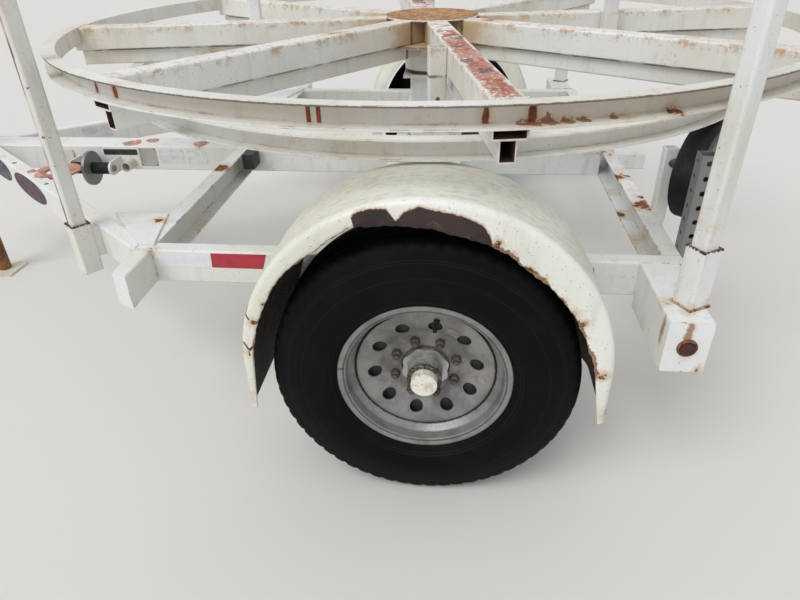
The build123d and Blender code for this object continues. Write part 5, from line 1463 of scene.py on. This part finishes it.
def patch_marks(tree, place, fine, patchy):
    """The bare patch over the wheel, rust along the lip, and cracks at the front end."""
    x, y, z = add(tree, "ShaderNodeSeparateXYZ", {0: place}).outputs
    dx = put(tree, "SUBTRACT", x, arch_x)
    dz = put(tree, "SUBTRACT", z, arch_z)
    degrees = product(tree, put(tree, "ARCTAN2", dx, dz), 180 / math.pi)
    radius = put(tree, "SQRT", put(tree, "ADD", product(tree, dx, dx), product(tree, dz, dz)))
    top = drawn_line(tree, degrees, PATCH_EDGE, -30, 30, 0.36, 0.09)
    lip = drawn_line(tree, degrees, NEAR_LIP, -90, 90, 0.36, 0.06)
    uneven = product(tree, put(tree, "SUBTRACT", fine, 0.5), 0.014)
    under = put(tree, "ADD", put(tree, "SUBTRACT", top, radius), uneven)
    outside = put(tree, "STEP", y, -1.285, -1.292)
    bare = product(tree, outside, put(tree, "STEP", under, -0.0006, 0.0006))
    halo = product(tree, outside, put(tree, "STEP", under, -0.007, 0.0, 0.0, 0.7))
    off_lip = put(tree, "SUBTRACT", radius, lip)
    tail_side = put(tree, "STEP", degrees, 14, 30, 0.35, 1.0)
    creep = product(tree, tail_side, put(tree, "STEP", patchy, 0.35, 0.65, 0.001, 0.013))
    lip_line = product(
        tree, outside, put(tree, "STEP", z, arch_z - 0.01, arch_z + 0.02),
        put(tree, "STEP", put(tree, "SUBTRACT", off_lip, creep), 0.0012, -0.0012))
    lip_brown = put(tree, "TINT", put(tree, "STEP", fine, 0.4, 0.6), "9A6A3E", "5A3A28")
    metal = put(tree, "TINT", put(tree, "STEP", patchy, 0.42, 0.62), "3A2B28", "261F1E")
    metal = put(tree, "TINT", put(tree, "STEP", fine, 0.58, 0.66), metal, "6B4636")
    cells = add(tree, "ShaderNodeTexVoronoi", {
        "Vector": put(tree, "STRETCHED", place, (1, 1, 0.5)),
        "Scale": 22.0}, feature="DISTANCE_TO_EDGE").outputs["Distance"]
    front_end = near_spots(tree, place, (
        (arch_x - 0.40, -1.31, arch_z + 0.14, 0.075), (arch_x - 0.42, -1.31, arch_z + 0.06, 0.05)))
    cracked = product(
        tree, put(tree, "STEP", cells, 0.045, 0.02), put(tree, "STEP", patchy, 0.46, 0.52),
        front_end)
    around = add(tree, "ShaderNodeCombineXYZ", {
        0: product(tree, degrees, 0.004), 1: y, 2: radius}).outputs[0]
    brushed = put(tree, "STEP", put(tree, "NOISE", around, 1000 / 14, 6, 0.66), 0.44, 0.66)
    crown_side = product(
        tree, put(tree, "STEP", y, -1.298, -1.288), put(tree, "STEP", radius, 0.43, 0.442))
    return (
        (product(tree, crown_side, 0.5), "D8D6C4", 0.5),
        (product(tree, crown_side, brushed, 0.5), "B5B29B", 0.6), (halo, "B9835A", 0.8),
        (put(tree, "STEP", cracked, 0.1, 0.25), "3F3A34", 0.8),
        (product(tree, lip_line, 0.9), lip_brown, 0.85), (bare, metal, 0.7))


# The bare patch's upper edge, as the lip's above. Then spots of rust: (degrees, radius, size).
PATCH_EDGE = (
    (-30, 0.360), (-22.3, 0.360), (-20.6, 0.432), (-19.2, 0.438), (-14.8, 0.4385), (-10.4, 0.434),
    (-8.4, 0.403), (-5.5, 0.421), (-1.2, 0.432), (3.2, 0.424), (8.5, 0.4206), (12.8, 0.4185),
    (17.6, 0.411), (21.3, 0.388), (23.5, 0.369), (24.5, 0.36), (30, 0.36))
LIP_SPOTS = (
    (24, 0.384, 0.03), (30, 0.376, 0.026), (38, 0.368, 0.022), (44, 0.372, 0.018),
    (50, 0.372, 0.022), (56, 0.378, 0.032), (61, 0.384, 0.045), (66, 0.386, 0.04),
    (72, 0.386, 0.022), (88, 0.42, 0.05), (-84, 0.43, 0.045), (-24, 0.41, 0.016),
    (-72, 0.42, 0.03), (-64, 0.414, 0.02))
lip_rust = []
for degrees, radius, size in LIP_SPOTS:
    angle = math.radians(degrees)
    lip_rust.append(
        (arch_x + math.sin(angle) * radius, -1.312, arch_z + math.cos(angle) * radius, size))
lip_rust += [(arch_x - FENDER_RADIUS, -1.3, 0.33, 0.06), (arch_x + FENDER_RADIUS, -1.3, 0.34, 0.06)]
fender_enamel = enamel(
    "white_enamel_on_fender", "E9E9E2", "DCDBCB", rust=0.12, edges=0.3, gloss=0.34,
    rusted_at=lip_rust, marks=patch_marks)
undercoat = old_steel("dark_fender_undercoat", "3B3833", "4C4339", 0.4, 0.0, 0.85)
print("finishes", fender_enamel.name, undercoat.name)

# %% Fenders in place
for side, lips in (("near", NEAR_LIP), ("far", FAR_LIP)):
    sheet_mesh = fender(side, lips)
    holder = bpy.data.objects.new("fender_holder", sheet_mesh)
    scene.collection.objects.link(holder)
    sheet_mesh.materials.append(fender_enamel)
    sheet_mesh.materials.append(undercoat)
    wall = holder.modifiers.new("wall", "SOLIDIFY")
    wall.thickness = SHEET_THICK
    wall.offset = -1
    wall.material_offset = 1
    graph = bpy.context.evaluated_depsgraph_get()
    whole = bpy.data.meshes.new_from_object(holder.evaluated_get(graph))
    bpy.data.objects.remove(holder)
    piece(
        f"fender_{side}_sheet", settled(whole, 40, turn_out=False), "chassis", fender_enamel,
        [f"fender_{side}"])
    print("fender", side, len(whole.polygons), "faces")

# %% [markdown]
# ## Jack and tongue fittings
# The jack's tube has the frame's enamel. Its leg never kept its paint, and only the foot plate
# is still white. The ring plate on the tongue is in bare red-oxide primer, which weathers to a
# chalky pink. It is turned anew a hand's width nearer the middle, where the real one sits, so
# the fittings' copy leaves the model's own ring out.

# %% Jack and tongue finishes
FOOT_PLATE_TOP = 0.0085


def leg_marks(tree, place, fine, patchy):
    """Rust all over the leg, down to the foot plate's upper side."""
    z = add(tree, "ShaderNodeSeparateXYZ", {0: place}).outputs["Z"]
    brown = put(tree, "TINT", put(tree, "STEP", patchy, 0.4, 0.62), "8A5B36", "5A3A28")
    brown = put(tree, "TINT", put(tree, "STEP", fine, 0.55, 0.65), brown, "B08A5E")
    return ((put(tree, "STEP", z, FOOT_PLATE_TOP, FOOT_PLATE_TOP + 0.001), brown, 0.85),)


# The ring plate's middle, on top of the near tongue rail.
ring_plate_middle = Vector((-0.957, -0.288, 0.547))


def fitting_marks(tree, place, fine, patchy):
    """Red-oxide primer on the ring plate."""
    primer = put(tree, "TINT", put(tree, "STEP", patchy, 0.4, 0.62), "C08F80", "A86F5F")
    primer = put(tree, "TINT", put(tree, "STEP", fine, 0.58, 0.66), primer, "D9CFC4")
    gap = put(tree, "GAP", place, tuple(ring_plate_middle))
    return ((put(tree, "STEP", gap, 0.1, 0.095), primer, 0.75),)


jack_enamel = enamel("white_enamel_on_jack", "DEDED8", "C9C4B4", rust=0.5, edges=0.6)
leg_finish = enamel(
    "rusted_jack_leg_with_painted_foot", "E3E2DA", "D2CBB8", rust=0.6, edges=0.7, marks=leg_marks)
fitting_enamel = enamel(
    "enamel_and_red_oxide_on_fittings", "DCDCD6", "C8C4B6", rust=0.5, edges=0.5,
    marks=fitting_marks)
smooth_copy("jack_tube", jack_enamel)
smooth_copy("jack_leg", leg_finish)

RING_PLATE = (
    (0.0004, 0.045), (0.0076, 0.045), (0.008, 0.0456), (0.008, 0.0844), (0.0076, 0.085),
    (0.0004, 0.085), (0, 0.0844), (0, 0.0456), (0.0004, 0.045))
ring_plate = turned("ring_plate", RING_PLATE, ring_plate_middle, SKY, 64)
small_fittings = nodes["tongue_fittings"].data.copy()
trimmed = bmesh.new()
trimmed.from_mesh(small_fittings)
flat_ring = [
    vertex for vertex in trimmed.verts
    if vertex.co.z > ring_plate_middle.z - 0.001 and vertex.co.y < -0.2]
bmesh.ops.delete(trimmed, geom=flat_ring, context="VERTS")
trimmed.to_mesh(small_fittings)
trimmed.free()
fittings = joined("tongue_fittings", [settled(small_fittings, turn_out=False), ring_plate])
piece("tongue_fittings_smooth", fittings, "chassis", fitting_enamel, ["tongue_fittings"])
print("jack and tongue dressed")

# %% [markdown]
# ## Gussets
# The corner plates run right up to the tongue rails, where they are welded all along. The
# model's triangles stop short of that edge, so a copy has its two tips drawn out to it.

# %% Corner gussets
TIP_REACH = 0.03
gussets = nodes["corner_gussets"].data.copy()
gusset_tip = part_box("corner_gussets")[0].x
for vertex in gussets.vertices:
    if vertex.co.x < gusset_tip + 0.002:
        vertex.co.x -= TIP_REACH
gussets.materials.clear()
piece(
    "corner_gussets_wide", settled(gussets, turn_out=False), "chassis", frame_enamel,
    ["corner_gussets"])
print("gusset tips at", round(gusset_tip - TIP_REACH, 4))

# %% [markdown]
# ## Drive wheel
# The friction wheel that turns the table is solid rubber moulded on a hub. Its sides have
# concentric grooves, so it is turned from an outline that has three of them, and the rubber's
# relief draws the finer lines between.

# %% Drive wheel tyre
drive_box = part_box("drive_wheel_tyre")
DRIVE_RADIUS = (drive_box[1].z - drive_box[0].z) / 2
SIDE = 0.0348
GROOVE_FLOOR = 0.0322
# One side from the rim to the tread: (radius, distance from the tyre's middle).
side_line = [(0.1052, SIDE)]
for groove in (0.112, 0.1205, 0.1285):
    side_line += [
        (groove - 0.0024, SIDE), (groove - 0.0016, GROOVE_FLOOR), (groove + 0.0016, GROOVE_FLOOR),
        (groove + 0.0024, SIDE)]
side_line += [
    (0.1345, SIDE), (0.1395, 0.0338), (0.1432, 0.0310), (DRIVE_RADIUS - 0.0002, 0.0262),
    (DRIVE_RADIUS, 0.016), (DRIVE_RADIUS, 0.008)]
drive_outline = [(along, radius) for radius, along in side_line]
drive_outline += [(-along, radius) for radius, along in reversed(side_line)]
drive_outline.append(drive_outline[0])
drive_mesh = turned("drive_tyre", drive_outline, drive_centre, drive_axis, 120)
piece("drive_tyre", drive_mesh, "drive_wheel", drive_rubber, ["drive_wheel_tyre"])
print("drive wheel radius", round(DRIVE_RADIUS, 4))

# %% [markdown]
# ## Tape, labels and decals
# The side rails carry red and white reflective tape. Its ends were cut on the slant. The beam
# and the tongue rails carry labels, left blank here, and two faded oval decals, and the beam a
# dark band too. Tape, labels and decals are vinyl films, a few tenths of a millimetre thick, so
# each is a thin plate on the face it sticks to; the band is a thin plate as well.

# %% Tape
rail_face = rail_low.y
TAPE_TOP = 0.5752
tapes = (
    ("white", tape_white, (
        (-0.236, 0.5300), (-0.0775, 0.5300), (-0.0745, TAPE_TOP), (-0.236, TAPE_TOP))),
    ("red", tape_red, (
        (-0.0765, 0.5300), (0.0730, 0.5290), (0.0875, TAPE_TOP), (-0.0738, TAPE_TOP))))
for name, finish, corners in tapes:
    for side, way in (("near", 1), ("far", -1)):
        outline = [(u * way, v) for u, v in corners]
        face = Vector((0, rail_face * way, 0))
        tape = plate(f"tape_{name}_{side}", outline, face, TAILWARD * way, SKY, LABEL_FILM)
        piece(f"tape_{name}_{side}", tape, "chassis", finish)
print("tapes", 2 * len(tapes))

# %% [markdown]
# ## Labels, decals and the data plate
# The labels are rounded rectangles and the decals are ovals, so one outline with a power makes
# them all. The data plate is thin steel on four rivets, which come from the nut's tree.

# %% Labels, decals and data plate
# The tongue rails come together at this angle, in degrees from the trailer's length.
TONGUE_TURN = 39.2
tongue_angle = math.radians(TONGUE_TURN)
near_along = Vector((math.cos(tongue_angle), -math.sin(tongue_angle), 0))
far_along = Vector((math.cos(tongue_angle), math.sin(tongue_angle), 0))
near_corner = Vector((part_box("tongue_rail_near")[1].x, rail_low.y, 0))
beam_face = -0.0605
DECAL_HIGH = SKY * 0.531
stickers = (
    ("decal_oval", decal_worn, oval(0.34, 0.088, 2.2),
     near_corner - near_along * 0.9 + DECAL_HIGH, near_along),
    ("decal_oval_front", decal_vinyl, oval(0.3, 0.088, 2.4),
     near_corner - near_along * 1.265 + DECAL_HIGH, near_along),
    ("beam_label_a", label_vinyl, oval(0.112, 0.062, 12),
     Vector((-0.588, beam_face, 0.5365)), TAILWARD),
    ("beam_label_b", label_white, oval(0.086, 0.062, 12),
     Vector((-0.478, beam_face, 0.5365)), TAILWARD),
    # A dark band on the centre beam, as a thin dark plate.
    ("beam_band", dark_band_finish, oval(0.149, 0.0245, 20),
     Vector((-0.8115, beam_face, 0.5552)), TAILWARD),
    ("tongue_label", label_vinyl, oval(0.135, 0.056, 12),
     Vector((-1.096, 0.2732, 0.542)), far_along))
for name, finish, outline, middle, along in stickers:
    piece(name, plate(name, outline, middle, along, SKY, LABEL_FILM), "chassis", finish)
PLATE_THICK = 0.0012
plate_middle = Vector((-0.692, beam_face, 0.5345))
data_plate = plate(
    "blank_data_plate", oval(0.076, 0.078, 14), plate_middle, TAILWARD, SKY, PLATE_THICK)
piece("blank_data_plate", data_plate, "chassis", bright_steel)
rivet_places = [
    (plate_middle + Vector((u, -PLATE_THICK, v)), (0, -1, 0))
    for u in (-0.032, 0.032) for v in (-0.033, 0.033)]
rivets = grown(
    "plate_rivets", points_facing("rivet_points", rivet_places), nut_tree, across_corners=0.007,
    nut_high=0.0014, stud_radius=0.0022, stud_long=0.0022, seed=1, material=zinc_steel)
piece("plate_rivets", rivets, "chassis", zinc_steel)
print("labels", len(stickers), "rivets", len(rivet_places))

# %% [markdown]
# ## Lamp rims
# Each round lamp is a moulded lens in a pressed steel rim, which rusts first at its foot.

# %% Lamp rims
rear_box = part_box("rear_outriggers")
front_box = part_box("front_outriggers")
rear_middle = (rear_box[0] + rear_box[1]) / 2
marker_y = (abs(rail_low.y) + front_box[1].y) / 2
marker_z = (rail_low.z + rail_top) / 2
LAMP_RIM = (
    (0.0002, 0.0236), (0.0030, 0.0232), (0.0052, 0.0208), (0.0058, 0.0185), (0.0040, 0.0177),
    (0.0002, 0.0177), (0.0002, 0.0236))
rims = []
for way in (-1, 1):
    tail_place = Vector((rear_middle.x, way * rear_box[1].y, rear_middle.z))
    marker_place = Vector((front_box[0].x, way * marker_y, marker_z))
    rims.append(turned("lamp_rim", LAMP_RIM, tail_place, Vector((0, way, 0)), 40))
    rims.append(turned("lamp_rim", LAMP_RIM, marker_place, -TAILWARD, 40))
piece("lamp_rims", joined("lamp_rims", rims), "chassis", rusty_steel)
print("lamp rims", len(rims))

# %% [markdown]
# ## Weld beads
# Everything here is welded by hand. A bead is a row of overlapping drops, one for each beat of
# the welder's hand, three or four millimetres apart. The seams are polylines, and a tree sets a
# drop on each step. Beads under paint are white, and those at the rear sockets have rusted.

# %% Weld seams
WELD_RIPPLE = 0.0034
SOCKET_TURN = 29
BEAD_OFF = 0.0004
BEAD_OVER = 0.0002


def spoke_seams():
    """Across the top of each spoke where it meets the ring, and round the top disc."""
    lines = []
    for number in range(SPOKES):
        angle = spoke_start + number * spoke_step
        away = Vector((math.cos(angle), math.sin(angle), 0))
        across = Vector((-away.y, away.x, 0))
        middle = Vector((axis_x, axis_y, table_top + BEAD_OVER)) + away * SPOKE_END
        lines.append([middle - across * 0.036, middle + across * 0.036])
    round_disc = [
        Vector((*on_table(degrees, DISC_RADIUS + BEAD_OVER), table_top + 0.001))
        for degrees in range(0, 361, 4)]
    return lines + [round_disc]


def square_seam(middle, half, turned_by):
    """Closed square round the foot of a tube."""
    corners = [(half, half), (-half, half), (-half, -half), (half, -half), (half, half)]
    spin = Matrix.Rotation(math.radians(turned_by), 3, "Z")
    return [Vector(middle) + spin @ Vector((u, v, 0)) for u, v in corners]


def frame_seams():
    """Outriggers and crossmembers against the rails, gussets, and the pedestal's foot."""
    lines = [square_seam((axis_x, 0, rail_top + 0.0125), 0.0765, 0)]
    for way in (-1, 1):
        face = way * (abs(rail_low.y) + BEAD_OFF)
        for x in (front_box[1].x + BEAD_OFF, rear_box[0].x - BEAD_OFF, rear_box[1].x + BEAD_OFF):
            lines.append([
                Vector((x, face, rail_low.z + 0.006)), Vector((x, face, rail_top - 0.004))])
        for low, high in (front_box, rear_box):
            lines.append([
                Vector((low.x + 0.003, face, rail_top + BEAD_OVER)),
                Vector((high.x, face, rail_top + BEAD_OVER))])
        gusset_low, gusset_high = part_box("corner_gussets")
        lines.append([
            Vector((gusset_high.x, way * 0.958, gusset_high.z - 0.004)),
            Vector((gusset_high.x - 0.045, way * 0.80, gusset_high.z - 0.004))])
        lines.append([
            Vector((gusset_low.x + 0.004, way * 0.748, gusset_high.z - 0.003)),
            Vector((gusset_high.x - 0.052, way * 0.748, gusset_high.z - 0.003))])
    return lines


print("seams", len(spoke_seams()) + len(frame_seams()))

# %% [markdown]
# ## Laying the beads
# Squares round the stakes' sockets are added to the seams above. Each set of seams has its own
# width of bead and its own finish, and becomes one piece on the body that it rides on.

# %% Beads
rim_rust = old_steel("flaking_rust_at_socket_rim", "4C4038", "5A3B2B", 0.7, 0.0, 0.85, size_mm=14)
socket_x, socket_y = 1.172, 1.187
rear_socket_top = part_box("stake_sockets_rear")[1].z - 0.0015
front_socket_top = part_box("stake_sockets_front")[1].z - 0.0015
socket_seams, rim_seams = [], []
for way in (-1, 1):
    place = (socket_x, way * socket_y)
    socket_seams.append(square_seam((*place, rail_top + 0.0008), 0.0293, -way * SOCKET_TURN))
    rim_seams.append(square_seam((*place, rear_socket_top), 0.0258, -way * SOCKET_TURN))
for way in (-1, 1):
    spans = list(zip(*stake_corners(way)))
    foot_x, foot_y = ((min(span) + max(span)) / 2 for span in spans[:2])
    rim_seams.append(
        square_seam((foot_x, foot_y, front_socket_top), 0.0262, way * TONGUE_TURN))
for name, lines, body, wide, finish in (
        ("table_welds", spoke_seams(), "turntable", 0.0062, weld_white),
        ("frame_welds", frame_seams(), "chassis", 0.0064, weld_white),
        ("socket_welds", socket_seams, "chassis", 0.0085, weld_rust),
        ("socket_rims", rim_seams, "chassis", 0.0065, rim_rust)):
    beads = grown(
        name, paths(name, lines), weld_tree, bead_wide=wide, ripple=WELD_RIPPLE, seed=7,
        material=finish)
    piece(name, beads, body, finish)
